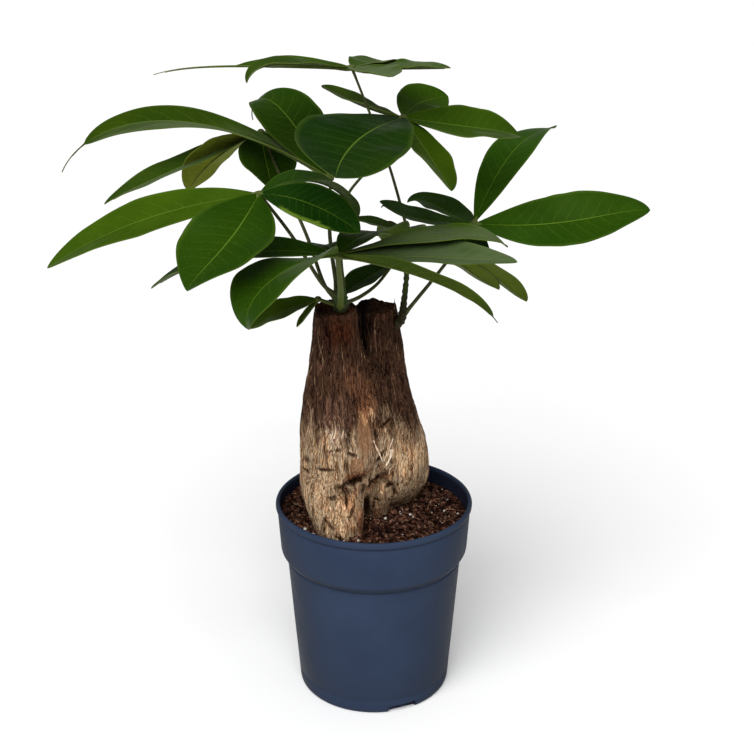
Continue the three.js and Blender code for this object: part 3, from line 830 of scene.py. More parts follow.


# patches and cracks on the bark, with painted shade and a painted highlight among them, each in its own tone
def paintMarks(tree, where, ragged, colour):
    dips = 0.0
    for kind, (tone, marks) in trunk["marks"].items():
        manner = "MIX" if kind == trunk["cover"] else "MULTIPLY"
        for place, size, tilt, soft, share in marks:
            mask = useGroup(tree, spot, {
                "Vector": where, "Ragged": ragged, "Centre": [c * mm for c in place],
                "Size": [c * mm for c in size], "Tilt": math.radians(tilt), "Soft": soft, "Share": share})[0]
            colour = blend(tree, mask, colour, tone, manner)
            if kind in trunk["dents"]:
                dips = calc(tree, "ADD", mask, dips)
    return colour, dips


def trunkBark(tones):
    material, tree, where = newMaterial("paleAndDarkBark", Roughness=0.9, Specular_IOR_Level=0.03)
    fine, hairs, broad = (fibresOf(tree, where, *net) for net in trunk["threadNets"].values())
    cloud = mottleOf(tree, where, *trunk["mottle"])["Cloud"]
    x, _, z = addNode(tree, "SeparateXYZ", {0: where}).outputs
    ragged = noiseOf(tree, stretched(tree, where, trunk["ragged"]), 1.0, 4.0, 0.6)
    border = trunk["wetBorder"]
    level = calc(tree, "MULTIPLY_ADD", ragged, border["ragged"], z)
    level = calc(tree, "MULTIPLY_ADD", x, border["lean"], level)
    level = calc(tree, "ADD", remap(tree, x, *border["right"]), level)
    wet = remap(tree, calc(tree, "MULTIPLY_ADD", fine["Thread"], border["threads"], level), *trunk["wetFrom"])
    low = blend(tree, cloud, tones["dry"], tones["dryDeep"])
    # the right side's tone is darker partly as wet bark and partly as painted shade cast by the left stem and
    # the leaves
    high = blend(tree, remap(tree, x, -0.018, 0.004), tones["wetLeft"], tones["wetRight"])
    high = layered(tree, high, (cloud, 0.5, tones["wetPatch"]),
                   (remap(tree, z, 0.222, 0.244), 0.5, tones["wetTop"]))
    colour = blend(tree, wet, low, high)
    lit = blend(tree, 1.0, colour, tones["lit"], "MULTIPLY")
    colour = layered(tree, colour, (fine["Thread"], 0.85, lit))
    dim = blend(tree, 1.0, colour, tones["dim"], "MULTIPLY")
    splits = calc(tree, "MAXIMUM", fine["Split"], times(tree, hairs["Split"], 0.7))
    splits = calc(tree, "MAXIMUM", splits, broad["Split"])
    strand = calc(tree, "MAXIMUM", fine["Strand"], times(tree, hairs["Strand"], 0.8))
    strandTone = blend(tree, wet, tones["dryStrand"], tones["wetStrand"])
    colour = layered(tree, colour, (splits, 0.92, dim), (strand, 0.75, strandTone))
    colour, dips = paintMarks(tree, where, ragged, colour)
    colour = blend(tree, tagOf(tree, "shaded"), colour, tones["notch"])
    height = calc(tree, "MULTIPLY_ADD", broad["Height"], 1.3, fine["Height"])
    height = calc(tree, "MULTIPLY_ADD", strand, 0.3, height)
    height = calc(tree, "MULTIPLY_ADD", dips, -0.8, height)
    return dress(material, colour, height, *trunk["bump"])


# dry fibres, torn off
def tornFibre(name, deep, bright):
    material, tree, where = newMaterial(name, Roughness=0.85, Specular_IOR_Level=0.15)
    torn = trunk["torn"]
    threads = fibresOf(tree, where, *torn["threads"])
    colour = layered(tree, blend(tree, threads["Thread"], deep, bright),
                     (threads["Split"], 0.6, torn["split"]))
    return dress(material, colour, threads["Height"], *torn["bump"])


def makeStem(name, keys):
    rows = (len(keys["z"]) - 1) * trunk["rowsPerKey"] + 1
    steps = [[along(keys[axis], row / (rows - 1)) for axis in ("x", "y", "z", "rx", "ry")]
             for row in range(rows)]
    stem = loft(name, trunk["sides"], steps)
    places = readPoints(stem) / mm
    x, y, z = places.T
    columns = np.array(steps).T
    cx, cy, _, rx, ry = (np.interp(z, columns[2], column) for column in columns)
    angle = np.arctan2((y - cy) / ry, (x - cx) / rx)
    lump = 1 + 0.03 * np.sin(3 * angle + z / 17) + 0.02 * np.sin(5 * angle - z / 13)
    places[:, 0] = cx + (x - cx) * lump
    places[:, 1] = cy + (y - cy) * lump
    writePoints(stem, places * mm)
    return stem


# how far fibres, lumps, hollows, bulges and creases push the skin out
def barkRelief(places, normals):
    ridge, fine, lumps, wander = (trunk[key] for key in ("ridge", "fine", "lumps", "wander"))
    slow = 1 / wander["size"]
    drift = np.stack([grain(places, slow, 7), grain(places, slow, 8), 0 * places[:, 0]], 1) * wander["far"]
    ridges = 1 - 2 * np.abs(grain((places + drift) * (1, 1, ridge["stretch"]), 1 / ridge["size"], 9)) ** 0.8
    threads = grain((places + drift * 0.6) * (1, 1, fine["stretch"]), 1 / fine["size"], 10)
    wide, small = lumps["sizes"]
    swells = grain(places, 1 / wide, 11) + 0.5 * grain(places, 1 / small, 12)
    upright = np.clip(1 - np.abs(normals[:, 2]) * 1.2, 0, 1)
    push = ridge["height"] * (ridges - 0.3) * upright + fine["height"] * threads + lumps["height"] * swells
    for sign, marks in ((-1, trunk["hollows"]), (1, trunk["bulges"])):
        for x, y, z, wide, tall, deep in marks:
            away = np.sum(((places - (x, y, z)) / (wide, 9, tall)) ** 2, 1)
            push += sign * deep * np.exp(-away * 2)
    for start, end, wide, deep in trunk["creases"]:
        run = np.subtract(end, start)
        away = places + drift * 0.25 - start
        away -= np.clip(away @ run / (run @ run), 0, 1)[:, None] * run
        away[:, 1] *= 0.35
        push -= deep * np.exp(-np.sum(away ** 2, 1) / wide ** 2)
    return push


# how much the notch between the cut tops and the right one behind it lie in shade
def topShade(places):
    notch, right = trunk["notch"], trunk["rightTop"]
    x, y, z = places.T
    high = ramp(z, *notch["rises"])
    away = (x - notch["at"] + notch["lean"] * high) / (notch["width"] + notch["widens"] * high)
    middle = np.exp(-away ** 2) * ramp(z, *notch["starts"])
    beside = ramp(x, *right["across"]) * ramp(z, *right["starts"]) * ramp(z, *right["ends"]) * right["shade"]
    return np.clip(middle * notch["deepest"] + beside, 0, 0.9) * ramp(y, *right["behind"])


def makeTrunk():
    body = fuse("trunkBody", [makeStem(name, keys) for name, keys in trunk["stems"].items()])
    modify(body, "REMESH", mode="VOXEL", voxel_size=trunk["voxel"] * mm, adaptivity=0)
    modify(body, "SMOOTH", **trunk["smoothing"])
    places = readPoints(body) / mm
    normals = readNormals(body)
    push = barkRelief(places, normals)
    cut = trunk["cutTop"]
    rough = cut["rough"] * ramp(places[:, 2], cut["from"], cut["to"])
    places[:, 2] += rough * (grain(places, 1 / 1.6, 13) * 0.9 + grain(places, 1 / 3.5, 14))
    writePoints(body, (places + normals * push[:, None]) * mm)
    tagPoints(body, "shaded", topShade(places))
    return finishPiece(body, trunkBark(trunk["tones"]), "bark", "trunk")


def surfaceOf(piece):
    places = [vertex.co.copy() for vertex in piece.data.vertices]
    return BVHTree.FromPolygons(places, [tuple(face.vertices) for face in piece.data.polygons])


# loose bark threads that lie on the trunk and run down it
def makeThreads(skin):
    thread = trunk["threads"]
    rng = random.Random(thread["seed"])
    steps = thread["steps"]
    low, high = thread["length"]
    bottom, top = thread["starts"]
    pale, dark = [], []
    for i in range(thread["count"]):
        angle = rng.random() * 2 * math.pi
        z = bottom + (top - bottom) * rng.random()
        away = Vector((math.cos(angle), math.sin(angle), 0))
        place = skin.ray_cast(Vector((thread["axis"] * mm, 0, z * mm)) + away * 0.08, -away)[0]
        if place is None:
            continue
        pace = (low + (high - low) * rng.random() ** 2) / steps * mm
        side = Vector((-away.y, away.x, 0))
        drift = (rng.random() - 0.5) * 0.5
        line, radii = [], []
        for step in range(steps):
            t = step / (steps - 1)
            near, normal, _, _ = skin.find_nearest(place)
            lift = thread["raised"] + 0.5 * (i % 9 == 0) * max(0, t - 0.7) * 3  # each ninth one is loose
            line.append(np.array(near + normal * lift * mm) / mm)
            radii.append(thread["thin"] + thread["thicker"] * math.sin(math.pi * t) ** 0.5)
            drift += (rng.random() - 0.5) * 0.35
            place = near + Vector((0, 0, -1)) * pace + side * (drift * pace)
            if place.z < thread["ends"] * mm:
                break
        if len(line) > 4:
            (pale if rng.random() < (0.75 if z < 185 else 0.45) else dark).append((line, radii))
    tan = tornFibre("barkThreadTan", *thread["tan"])
    brown = tornFibre("barkThreadDark", *thread["brown"])
    for name, lines, material in (("barkThreads", pale, tan), ("barkHairs", dark, brown)):
        finishPiece(makeTubes(name, lines, 6), material, "bark")


# torn strips of bark, pale inside, each held at its root and lifting at its tip
def makeStrips(skin):
    pieces = []
    for start, end, width, lift in trunk["strips"]:
        deselectAll()
        bpy.ops.mesh.primitive_grid_add(x_subdivisions=14, y_subdivisions=4, size=2)
        strip = named("tornStrip")
        u, v, _ = readPoints(strip).T
        run = np.subtract(end, start)
        places = []
        for t, across in zip((u + 1) / 2, v):
            near, normal, _, _ = skin.find_nearest(Vector(start + t * run) * mm)
            side = normal.cross(Vector(run)).normalized()
            half = width / 2 * (1 - 0.75 * t) * (1 + 0.15 * math.sin(9 * t + width * 7))
            height = 0.15 + lift * t ** 2 + 0.25 * across ** 2
            places.append(near + (side * across * half + normal * height) * mm)
        writePoints(strip, places)
        modify(strip, "SOLIDIFY", thickness=trunk["stripThickness"] * mm, offset=0)
        modify(strip, "SUBSURF", levels=1, render_levels=1)
        pieces.append(strip)
    return finishPiece(fuse("barkStrips", pieces), tornFibre("tornBarkPale", *trunk["stripTones"]), "bark")


trunkSkin = surfaceOf(makeTrunk())
makeThreads(trunkSkin)
makeStrips(trunkSkin)
print("trunk done")


# shoots: short green wood and dry stipules

shoots = {
    "shoot_left": {
        "through": [(-18, -19, 248.5), (-18.4, -19.4, 257), (-19, -20, 266)],
        "radius": [4.4, 4.1, 3]},
    "shoot_right": {
        "through": [(10.5, 4.5, 232.5), (15.8, 2, 238.5), (17.4, 2.4, 248), (18.8, 5, 261), (19.6, 8, 274),
                    (20, 10, 289)],
        "radius": [2.4, 2.9, 1.8, 1.6, 1.7, 2]},
}

shootBark = {
    "threads": (900.0, 160.0, 0.006), "mottle": (180.0, 5.0), "bump": (0.4, 0.0005),
    "rootFades": (0.26, 0.248),  # in metres
    "deep": shade(36, 58, 16), "fresh": shade(56, 78, 25), "root": shade(28, 28, 14),
    "thread": shade(84, 74, 46), "split": shade(40, 28, 18),
    "stipuleDeep": shade(46, 32, 18), "stipulePale": shade(86, 64, 42)}

stipules = {  # what each one runs through, and its radii from root to tip
    "hooked": ([(15.4, 6.6, 303.6), (12.6, 6.4, 305.6), (10.4, 6, 306.4), (7.6, 5.5, 305.9), (5.1, 5, 305.2),
                (4, 4.8, 304)], [0.75, 0.55, 0.6, 0.75, 0.5, 0.15]),
    "short": ([(19, 10.5, 288), (15, 11, 291.5), (9.9, 11.5, 294.3), (6, 12, 294.4)], [0.6, 0.5, 0.6, 0.15]),
    "spike": ([(11.4, 3.5, 243), (12.2, 2.2, 246.9), (12, 1.8, 251.2)], [0.9, 0.5, 0.1]),
}


def youngBark():
    material, tree, where = newMaterial("youngBark", Roughness=0.6, Specular_IOR_Level=0.12)
    threads = fibresOf(tree, where, *shootBark["threads"])
    spots = mottleOf(tree, where, *shootBark["mottle"])
    root = remap(tree, addNode(tree, "SeparateXYZ", {0: where}).outputs[2], *shootBark["rootFades"])
    colour = blend(tree, spots["Cloud"], shootBark["deep"], shootBark["fresh"])
    colour = layered(tree, colour, (root, 1, shootBark["root"]),
                     (threads["Thread"], 0.3, shootBark["thread"]),
                     (threads["Split"], 0.6, shootBark["split"]))
    return dress(material, colour, threads["Height"], *shootBark["bump"])


def makeShoot(node, shoot, material):
    line = smoothLine(shoot["through"], 12)
    count = len(line)
    radii = [along(shoot["radius"], i / (count - 1)) * (1 + 0.1 * math.sin(i * 1.9)) for i in range(count)]
    radii[0] *= 0.8
    radii[-1] *= 0.6
    stem = makeTubes(node.replace("shoot_", "shoot") + "Wood", [(line, radii)], 16)
    places = readPoints(stem) / mm
    places += readNormals(stem) * (grain(places, 1 / 1.8, 21) * 0.35)[:, None]
    writePoints(stem, places * mm)
    return finishPiece(stem, material, "young_bark", node)


def makeStipules():
    lines = []
    for through, radii in stipules.values():
        line = smoothLine(through, 8)
        lines.append((line, [along(radii, i / (len(line) - 1)) for i in range(len(line))]))
    dry = tornFibre("dryStipule", shootBark["stipuleDeep"], shootBark["stipulePale"])
    return finishPiece(makeTubes("dryStipules", lines, 8), dry, "young_bark")


greenBark = youngBark()
for node, shoot in shoots.items():
    makeShoot(node, shoot, greenBark)
makeStipules()
print("shoots done")


# leaves: one flat blade is modelled once, then copied and bent for each leaflet

blade = {
    "cells": (72, 22), "thickness": 0.4, "fold": 0.18, "wave": 0.03, "tipShape": 0.7,
    "rootWidth": 1.6, "tipWidth": 0.5, "pairs": 13, "veinLean": 0.13, "quilt": 0.16, "groove": 0.3,
    "ribRoot": 1.1, "ribBody": 0.5, "ribTip": 0.1, "ribSink": 0.3, "edgeFrom": 0.965, "edgeShare": 0.14,
    "tornFade": 0.06, "tornFrom": 0.8, "tornShare": 0.55, "sheen": shade(98, 110, 78),
    "mottle": (45.0, 14.0), "ribWidth": 0.04, "veinWidth": 0.08, "bump": (0.35, 0.0005),
    "glance": (0.68, 0.96, 0.0, 0.55),  # the sheen grows between the first two, from the third to the fourth
    "upper": {
        "deep": shade(7, 38, 3), "fresh": shade(50, 84, 6), "warm": shade(76, 86, 8),
        "vein": shade(114, 142, 46), "veinShare": 0.1, "ribShare": 0.55, "roughness": 0.42, "relief": -1.0},
    # the underside's fresh and warm greens are partly its own paler colour and partly painted light shining
    # through the blade
    "under": {
        "deep": shade(30, 50, 12), "fresh": shade(66, 92, 18), "warm": shade(122, 128, 40),
        "vein": shade(112, 128, 58), "veinShare": 0.25, "ribShare": 0.5, "roughness": 0.6, "relief": 1.0},
}

stalk = {
    "root": shade(52, 50, 28), "fresh": shade(74, 92, 28), "thread": shade(96, 104, 54),
    "speck": shade(62, 48, 28), "knob": 2.1,
    "threads": (1100.0, 120.0, 0.004), "mottle": (120.0, 8.0), "bump": (0.3, 0.0003)}

# a leaflet turns about +Z from +X, lifts from the level, droops, curls down at its tip, rolls and twists
# about its midrib and bends sideways; tone goes from deep green, 0, to fresh green, 1; a sheen over 1 also
# makes it pale where it is seen less flatly
leaves = {
    "leaf_top": {
        "stalk": [(20, 10, 287.5), (8, 1, 331), (-11.5, -12, 384.5)], "radius": [0.9, 0.65], "fresh": 0.4,
        "leaflets": [
            dict(turn=167, lift=0, droop=4, long=114, wide=25, roll=-6, bend=-2, curl=15, drip=0.44,
                 tone=0.55, warm=0.25),
            dict(turn=196, lift=6, long=61, wide=24, curl=90, tone=0.35, warm=0.2),
            dict(turn=302, lift=0, long=40, wide=27, tone=0.4, warm=0.2, sheen=1.4),
            dict(turn=5, lift=-1, long=53, wide=26, tone=0.5, warm=0.2, sheen=1.4),
            dict(turn=57, lift=4, droop=15, long=37, wide=26, tone=0.45, warm=0.2)]},
    "leaf_high_right": {
        "stalk": [(-17, -18, 264.5), (-18.5, -11, 289), (-15.5, -2, 311), (-1.5, -3, 330), (16, -5, 357)],
        "radius": [1, 0.7], "fresh": 0.4,
        "leaflets": [
            dict(turn=155, lift=8, droop=-20, long=52, wide=23, roll=16, bend=-4, twist=-17, curl=10,
                 tone=0.4, warm=0.3),
            dict(turn=246, lift=2, droop=17, long=124, wide=56, roll=-4, bend=25, twist=-13, curl=-14,
                 tone=0.06, warm=0.04, sheen=0.15),
            dict(turn=296, lift=-24, droop=15, long=60, wide=27, roll=-10, bend=8, twist=-16, tone=0.38,
                 warm=0.25),
            dict(turn=357, lift=-9, droop=-5, long=66, wide=36, roll=21, bend=17, twist=-7, curl=21,
                 tone=0.47, warm=0.2),
            dict(turn=69, lift=14, droop=21, long=47, wide=27, roll=11, bend=-42, twist=23, curl=-14,
                 tone=0.5, warm=0.15)]},
    "leaf_high_left": {
        "stalk": [(-20.5, -18.5, 263), (-24.5, -10, 293), (-24, 0, 322)], "radius": [1.3, 0.9],
        "fresh": 0.2,
        "leaflets": [
            dict(turn=152, lift=24, droop=51, long=190, wide=27, roll=27, bend=28, twist=-80, curl=37,
                 drip=0.12, tone=0.22, warm=0.25, sheen=1.4),
            dict(turn=123, lift=32, droop=3, long=102, wide=36, roll=-16, bend=10, curl=148, drip=0.12,
                 tone=0.15, warm=0.1),
            dict(turn=70, lift=25, droop=40, long=60, wide=32, tone=0.2, warm=0.1)]},
    "leaf_front_left": {
        "stalk": [(-21.5, -20.5, 261), (-27.5, -24, 267), (-44.6, -30, 297.5), (-60, -45, 324)],
        "radius": [1.3, 0.9], "fresh": 0.25,
        "leaflets": [
            dict(turn=180, lift=-8, droop=25, long=121, wide=30, roll=-44, bend=10, twist=35, tone=0.77,
                 warm=0.25),
            dict(turn=252, lift=-25, long=75, wide=48, roll=-24, bend=-40, twist=29, curl=29, tone=0.37,
                 warm=0.05),
            dict(turn=316, lift=8, droop=35, long=72, wide=22, roll=40, bend=11, tone=0.06, warm=0,
                 sheen=0.2, torn=(0.3, 0.85, -1)),
            dict(turn=26, lift=24, droop=100, long=67, wide=32, bend=-8, tone=0.3, warm=0.05, sheen=0.3)]},
    "leaf_right": {
        "stalk": [(17, 2.3, 240.5), (42, 3, 273), (57, 5, 295)], "radius": [1.2, 0.8], "fresh": 0.15,
        "leaflets": [
            dict(turn=359, lift=-4, droop=-29, long=100, wide=34, roll=69, twist=-42, curl=27, tone=0.42,
                 warm=0.05),
            dict(turn=61, lift=42, droop=50, long=114, wide=28, roll=20, bend=-9, twist=-38, tone=0.5,
                 warm=0, sheen=0.3),
            dict(turn=126, lift=0, droop=-40, long=50, wide=32, roll=12, bend=50, twist=-15, curl=80,
                 tone=0.4, warm=0.05, sheen=0.2),
            dict(turn=201, lift=6, droop=-19, long=61, wide=26, roll=-6, twist=-8, curl=-20, tone=0.3,
                 warm=0.05, sheen=0.2),
            dict(turn=247, lift=-25, droop=-38, long=58, wide=38, roll=-8, bend=5, twist=-5, curl=-13,
                 tone=0.3, warm=0.05)]},
    "leaf_front": {
        "stalk": [(-18.6, -21, 254), (-18, -35, 268), (-19, -50, 292)], "radius": [1.9, 1.4], "fresh": 0.75,
        "leaflets": [
            dict(turn=237, lift=14, droop=62, long=83, wide=46, roll=30, bend=-38, twist=-38, curl=65,
                 tone=0.46, warm=0.05),
            dict(turn=169, lift=5, droop=42, long=111, wide=32, roll=-16, twist=16, tone=0.4, warm=0.03),
            dict(turn=108, lift=10, droop=40, long=33, wide=22, tone=0.2, warm=0.05),
            dict(turn=56, lift=20, droop=55, long=62, wide=32, roll=8, bend=-8, twist=-40, tone=0.25,
                 warm=0.1),
            dict(turn=14, lift=8, droop=12, long=101, wide=31, roll=-14, bend=15, twist=25, curl=39,
                 tone=0.95, warm=0.3, sheen=1.8),
            dict(turn=351, lift=2, droop=4, long=95, wide=34, roll=4, tone=0.5, warm=0.1, sheen=2.0),
            dict(turn=330, lift=0, droop=28, long=97, wide=26, roll=-33, bend=22, curl=27, drip=0.04,
                 tone=0.15, warm=0.1)]},
    "leaf_back_left": {
        "stalk": [(-21.5, -18.5, 257.5), (-27, -14, 263), (-38, 1, 289), (-54, 27, 317), (-66.5, 50, 339)],
        "radius": [1.2, 0.9], "fresh": 0.15,
        "leaflets": [
            dict(turn=194, lift=-21, long=101, wide=32, roll=-10, twist=11, curl=9, tone=0.35, warm=0.2),
            dict(turn=184, lift=-22, droop=35, long=57, wide=34, roll=23, bend=9, twist=25, curl=4,
                 tone=1.0, warm=0.8),
            dict(turn=281, lift=-36, droop=38, long=39, wide=37, roll=6, bend=32, twist=-35, tone=0.15,
                 warm=0.1),
            dict(turn=96, lift=-15, droop=30, long=60, wide=32, tone=0.3, warm=0.1)]},
    "leaf_low_right": {
        "stalk": [(20, 11, 286), (20.5, 15, 287.5), (20, 20, 285)], "radius": [1.2, 1.0], "fresh": 0.4,
        "leaflets": [
            dict(turn=174, lift=18, droop=10, long=34, wide=18, tone=0.5, warm=0.2),
            dict(turn=30, lift=-30, droop=13, long=78, wide=26, roll=-22, bend=-6, twist=7, curl=-12,
                 tone=0.55, warm=0.25),
            dict(turn=15, lift=-20, droop=33, long=93, wide=27, roll=-6, bend=12, twist=-14, curl=-14,
                 tone=0.6, warm=0.25),
            dict(turn=95, lift=0, droop=60, long=66, wide=30, tone=0.4, warm=0.1)]},
    "leaf_inner": {
        "stalk": [(-15.8, -18, 255), (-8, -10, 256), (2, 2, 260), (12.5, 15, 270)], "radius": [1.2, 0.9],
        "fresh": 0.3,
        "leaflets": [
            dict(turn=210, lift=-21, droop=3, long=38, wide=26, tone=0.1, warm=0.1)]},
    "leaf_low_left": {
        "stalk": [(-20.5, -20, 254), (-26, -18, 255.3), (-31.5, -15, 256.5)], "radius": [1.2, 1.0],
        "fresh": 0.8,
        "leaflets": [
            dict(turn=190, lift=-14, droop=18, long=42, wide=25, roll=-13, twist=13, tone=0.8, warm=0.4),
            dict(turn=200, lift=-50, long=20, wide=8, tone=0.8, warm=0.4)]},
}


def leafSkin(name, look):
    rough, vein = look["roughness"], look["vein"]
    material, tree, where = newMaterial(name, Roughness=rough, IOR=1.42, Specular_IOR_Level=0.02)
    lines = useGroup(tree, venation, {"UV": addNode(tree, "TexCoord").outputs["UV"], "Pairs": blade["pairs"],
                                      "Rib": blade["ribWidth"], "Vein": blade["veinWidth"]})
    spots = mottleOf(tree, where, *blade["mottle"])
    facing = addNode(tree, "LayerWeight", {"Blend": 0.5}).outputs["Facing"]
    gloss = tagOf(tree, "sheen")
    extra = calc(tree, "MAXIMUM", calc(tree, "SUBTRACT", gloss, 1.0), 0.0)
    glance = remap(tree, calc(tree, "MULTIPLY_ADD", extra, 0.4, facing), *blade["glance"])
    sheen = times(tree, glance, calc(tree, "MINIMUM", gloss, 1.0))
    colour = layered(tree, blend(tree, tagOf(tree, "tone"), look["deep"], look["fresh"]),
                     (tagOf(tree, "warm"), 1, look["warm"]), (spots["Cloud"], 0.25, look["deep"]),
                     (lines["Veins"], look["veinShare"], vein),
                     (lines["Net"], look["veinShare"] * 0.35, vein),
                     (sheen, 1, blade["sheen"]), (lines["Midrib"], look["ribShare"], vein),
                     (tagOf(tree, "edge"), 1, vein))
    height = calc(tree, "MULTIPLY_ADD", lines["Height"], look["relief"], times(tree, spots["Speck"], 0.12))
    return dress(material, colour, height, *blade["bump"],
                 remap(tree, spots["Cloud"], 0.0, 1.0, rough - 0.05, rough + 0.08))


def stalkSkin():
    material, tree, where = newMaterial("greenStalk", Roughness=0.5, Specular_IOR_Level=0.15)
    threads = fibresOf(tree, where, *stalk["threads"])
    spots = mottleOf(tree, where, *stalk["mottle"])
    colour = layered(tree, blend(tree, tagOf(tree, "fresh"), stalk["root"], stalk["fresh"]),
                     (threads["Thread"], 0.3, stalk["thread"]), (spots["Speck"], 0.3, stalk["speck"]))
    return dress(material, colour, threads["Height"], *stalk["bump"])


# a flat blade, 0 to 1 from root to tip and -1 to 1 across, with finer cells at its ends and its midrib
def makeBlade():
    deselectAll()
    lengthwise, across = blade["cells"]
    bpy.ops.mesh.primitive_grid_add(x_subdivisions=lengthwise, y_subdivisions=across, size=2)
    flat = named("flatBlade")
    x, y, _ = readPoints(flat).T
    t = (x + 1) / 2
    s = 0.55 * t + 0.45 * (0.5 - 0.5 * np.cos(math.pi * t))
    v = np.sign(y) * np.abs(y) ** 1.35
    writePoints(flat, np.stack([s, v, 0 * s], 1))
    corner = np.empty(len(flat.data.loops), int)
    flat.data.loops.foreach_get("vertex_index", corner)
    uv = np.stack([s[corner], 0.5 + 0.5 * v[corner]], 1)
    flat.data.uv_layers.active.data.foreach_set("uv", uv.ravel())
    flat.data.materials.append(leafSkin("leafUpperFace", blade["upper"]))
    flat.data.materials.append(leafSkin("leafUnderside", blade["under"]))
    return flat


def turnAbout(vectors, axes, angles):
    cos, sin = np.cos(angles)[:, None], np.sin(angles)[:, None]
    kept = axes * np.sum(axes * vectors, 1)[:, None]
    return vectors * cos + np.cross(axes, vectors) * sin + kept * (1 - cos)


# where a leaflet's midrib runs and how the blade lies across it, at each s
def leafletFrame(hub, leaflet, s):
    def heading(at):
        pitch = leaflet["lift"] - leaflet.get("droop", 0) * at ** 1.3 - leaflet.get("curl", 0) * at ** 6
        pitch = np.radians(pitch)
        azimuth = np.radians(leaflet["turn"] + leaflet.get("bend", 0) * at ** 2)
        level = np.cos(pitch)
        forward = np.stack([np.cos(azimuth) * level, np.sin(azimuth) * level, np.sin(pitch)], 1)
        across = np.stack([-np.sin(azimuth), np.cos(azimuth), 0 * azimuth], 1)
        roll = np.radians(leaflet.get("roll", 0) + leaflet.get("twist", 0) * at)
        return forward, turnAbout(across, forward, roll)

    steps = 400
    forward, _ = heading((np.arange(steps) + 0.5) / steps)
    walked = np.vstack([np.zeros(3), np.cumsum(forward, 0) * leaflet["long"] / steps]) + hub
    middle = np.stack([np.interp(s, np.linspace(0, 1, steps + 1), walked[:, i]) for i in range(3)], 1)
    forward, across = heading(s)
    return middle, across, np.cross(forward, across)


def halfWidth(leaflet, s):
    widest = 1 / (1 + blade["tipShape"])
    fullest = widest * (1 - widest) ** blade["tipShape"]
    slimmest = (blade["rootWidth"] + (blade["tipWidth"] - blade["rootWidth"]) * s) / 2
    share = np.minimum(s / (1 - leaflet.get("drip", 0)), 1)
    return np.maximum(slimmest, leaflet["wide"] / 2 * share * (1 - share) ** blade["tipShape"] / fullest)


def bendBlade(flat, hub, leaflet, phase):
    piece = copyOf(flat)
    s, v, _ = readPoints(flat).T
    middle, across, up = leafletFrame(hub, leaflet, s)
    out = np.abs(v)
    spots = np.stack([s * 9 + phase * 3.1, v * 2.2, 0 * s + phase], 1)
    half = halfWidth(leaflet, s) * (1 + 0.015 * grain(spots * (1.6, 0, 1), 1, 31) * out)
    fold = half * blade["fold"] * (out ** 1.2)
    wave = half * blade["wave"] * v * np.sin(5 * math.pi * s + phase)
    lane = (s - blade["veinLean"] * out ** 1.25) * blade["pairs"] + 0.45 * (v > 0)
    quilt = blade["quilt"] * (np.abs(np.sin(math.pi * lane)) - 0.6) * np.minimum(1, 4 * out) * (1 - out ** 3)
    quilt *= np.minimum(1, half / 8)
    groove = -blade["groove"] * np.exp(-((v * half) / 0.8) ** 2) * (1 - s) ** 0.5
    lump = 0.04 * half * grain(spots, 1, 32) * out
    rise = fold + wave + quilt + groove + lump
    writePoints(piece, (middle + across * (half * v)[:, None] + up * rise[:, None]) * mm)
    tagPoints(piece, "tone", leaflet["tone"] + 0.08 * grain(spots, 0.6, 33))
    tagPoints(piece, "warm", leaflet["warm"] + 0.05 * grain(spots, 0.5, 34))
    tagPoints(piece, "sheen", leaflet.get("sheen", 1))
    rim = ramp(out, blade["edgeFrom"], 1) * blade["edgeShare"]
    if "torn" in leaflet:  # a pale scuffed border along a stretch of one side
        start, end, side = leaflet["torn"]
        stretch = ramp(s, start, start + blade["tornFade"]) * ramp(s, end, end - blade["tornFade"])
        ragged = blade["tornFrom"] + 0.12 * grain(spots * 3, 2.5, 35)
        rim = np.maximum(rim, stretch * ramp(v * side, ragged, ragged + 0.05) * blade["tornShare"])
    tagPoints(piece, "edge", rim)
    modify(piece, "SOLIDIFY", thickness=blade["thickness"] * mm, offset=0, material_offset=1,
           material_offset_rim=1, use_rim=True)
    return piece


# the rib under a leaflet, from its thick root to near the tip
def ribLine(hub, leaflet):
    s = np.concatenate([[0.0, 0.012, 0.03, 0.05], np.linspace(0.08, 0.94, 22)])
    middle, _, up = leafletFrame(hub, leaflet, s)
    thick = blade["ribRoot"] * np.exp(-(s / 0.045) ** 2) + blade["ribBody"] * (1 - s) ** 0.8 + blade["ribTip"]
    sink = ramp(s, 0, 0.06) * (blade["ribSink"] + thick)
    return middle - up * sink[:, None], thick


def makeLeaf(node, leaf, phase, flat, skin):
    hub = np.array(leaf["stalk"][-1], float)
    pieces = [bendBlade(flat, hub, leaflet, phase + i * 2.1) for i, leaflet in enumerate(leaf["leaflets"])]
    ribs = makeTubes(node + "Ribs", [ribLine(hub, leaflet) for leaflet in leaf["leaflets"]], 8)
    line = smoothLine(leaf["stalk"], 14)
    share = np.linspace(0, 1, len(line))
    radii = np.array([along(leaf["radius"], t) for t in share])
    radii *= 1 + 0.5 * np.exp(-(share / 0.05) ** 2) + 0.5 * np.exp(-((1 - share) / 0.035) ** 2)  # thick ends
    stem = makeTubes(node + "Stalk", [(line, radii)], 12)
    deselectAll()
    bpy.ops.mesh.primitive_uv_sphere_add(segments=20, ring_count=12, radius=stalk["knob"] * mm,
                                         location=hub * mm, scale=(1, 1, 0.75))
    knob = named(node + "Knob")
    settle(knob)
    for part, fresh in ((ribs, 0.85), (stem, leaf["fresh"]), (knob, 0.7)):
        tagPoints(part, "fresh", fresh)
        part.data.materials.append(skin)
    words = node.split("_")
    whole = fuse(words[0] + "".join(word.title() for word in words[1:]), pieces + [ribs, stem, knob])
    return finishPiece(whole, None, "leaf", node, angle=60)


flatBlade = makeBlade()
stalkGreen = stalkSkin()
for phase, (node, leaf) in enumerate(leaves.items()):
    makeLeaf(node, leaf, phase, flatBlade, stalkGreen)
bpy.data.objects.remove(flatBlade)
print("leaves done")


# floor, light and camera

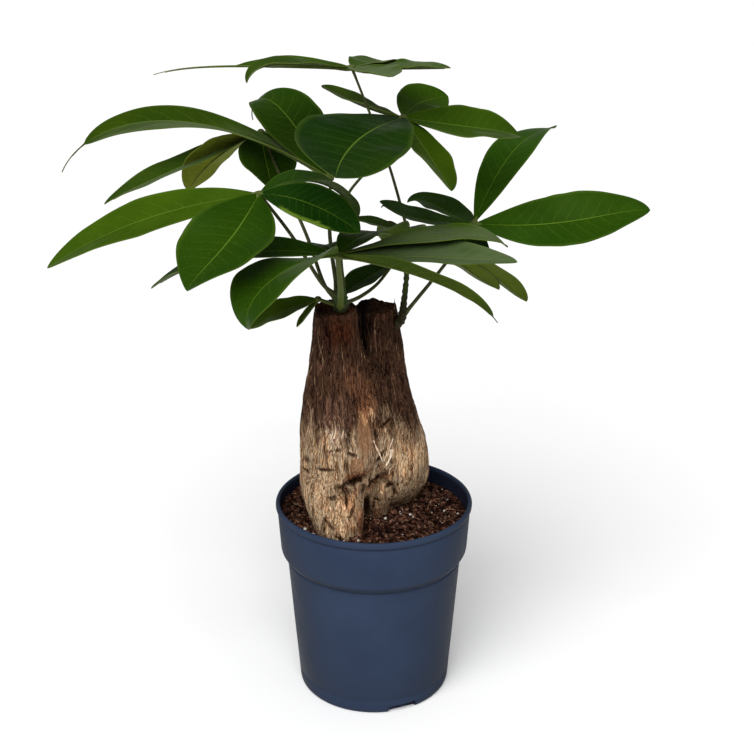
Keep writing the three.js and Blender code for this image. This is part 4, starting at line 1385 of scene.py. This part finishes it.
studio = {
    "floor": 14, "floorTones": (shade(244, 244, 244), shade(248, 248, 248)),
    "camera": (0.0019, -0.716, 0.481), "pitch": 68.8, "focal": 1300 / 754 * 36,
    "world": 0.42, "exposure": 0.0,
    "sky": {"turn": (42, 0, -16), "softness": 50, "strength": 3.0},
    "lights": [  # place, aim, size, power
        ((-0.9, -1.5, 1.3), (0, 0, 0.2), 1.2, 3),
        ((1.4, -0.9, 0.9), (0, 0, 0.2), 1.0, 1.5),
    ],
}


def setUp(name, data, turn, place=(0, 0, 0)):
    thing = bpy.data.objects.new(name, data)
    thing.location = place
    thing.rotation_euler = turn
    bpy.context.scene.collection.objects.link(thing)
    return thing


def makeStudio():
    scene = bpy.context.scene
    deselectAll()
    bpy.ops.mesh.primitive_plane_add(size=studio["floor"])
    floor = named("studioFloor")
    material, tree, where = newMaterial("paleFloor", Roughness=0.9, Specular_IOR_Level=0.2)
    cloud = mottleOf(tree, where, 1.5, 40.0)["Cloud"]
    floor.data.materials.append(dress(material, blend(tree, cloud, *studio["floorTones"])))
    for i, (place, aim, size, power) in enumerate(studio["lights"]):
        light = bpy.data.lights.new(f"softLight{i}", "AREA")
        light.shape = "SQUARE"
        light.size = size
        light.energy = power
        setUp(light.name, light, (Vector(aim) - Vector(place)).to_track_quat("-Z", "Y").to_euler(), place)
    sky = bpy.data.lights.new("broadSky", "SUN")
    sky.angle = math.radians(studio["sky"]["softness"])
    sky.energy = studio["sky"]["strength"]
    setUp(sky.name, sky, [math.radians(a) for a in studio["sky"]["turn"]])
    scene.world = bpy.data.worlds.new("softRoom")
    scene.world.use_nodes = True
    room = scene.world.node_tree.nodes["Background"]
    room.inputs["Color"].default_value = (1, 1, 1, 1)
    room.inputs["Strength"].default_value = studio["world"]
    eye = bpy.data.cameras.new("photoCamera")
    eye.sensor_width = 36
    eye.lens = studio["focal"]
    scene.camera = setUp("photoCamera", eye, (math.radians(studio["pitch"]), 0, 0), studio["camera"])
    scene.view_settings.view_transform = "Standard"
    scene.view_settings.exposure = studio["exposure"]


makeStudio()
print("studio done")

deselectAll()
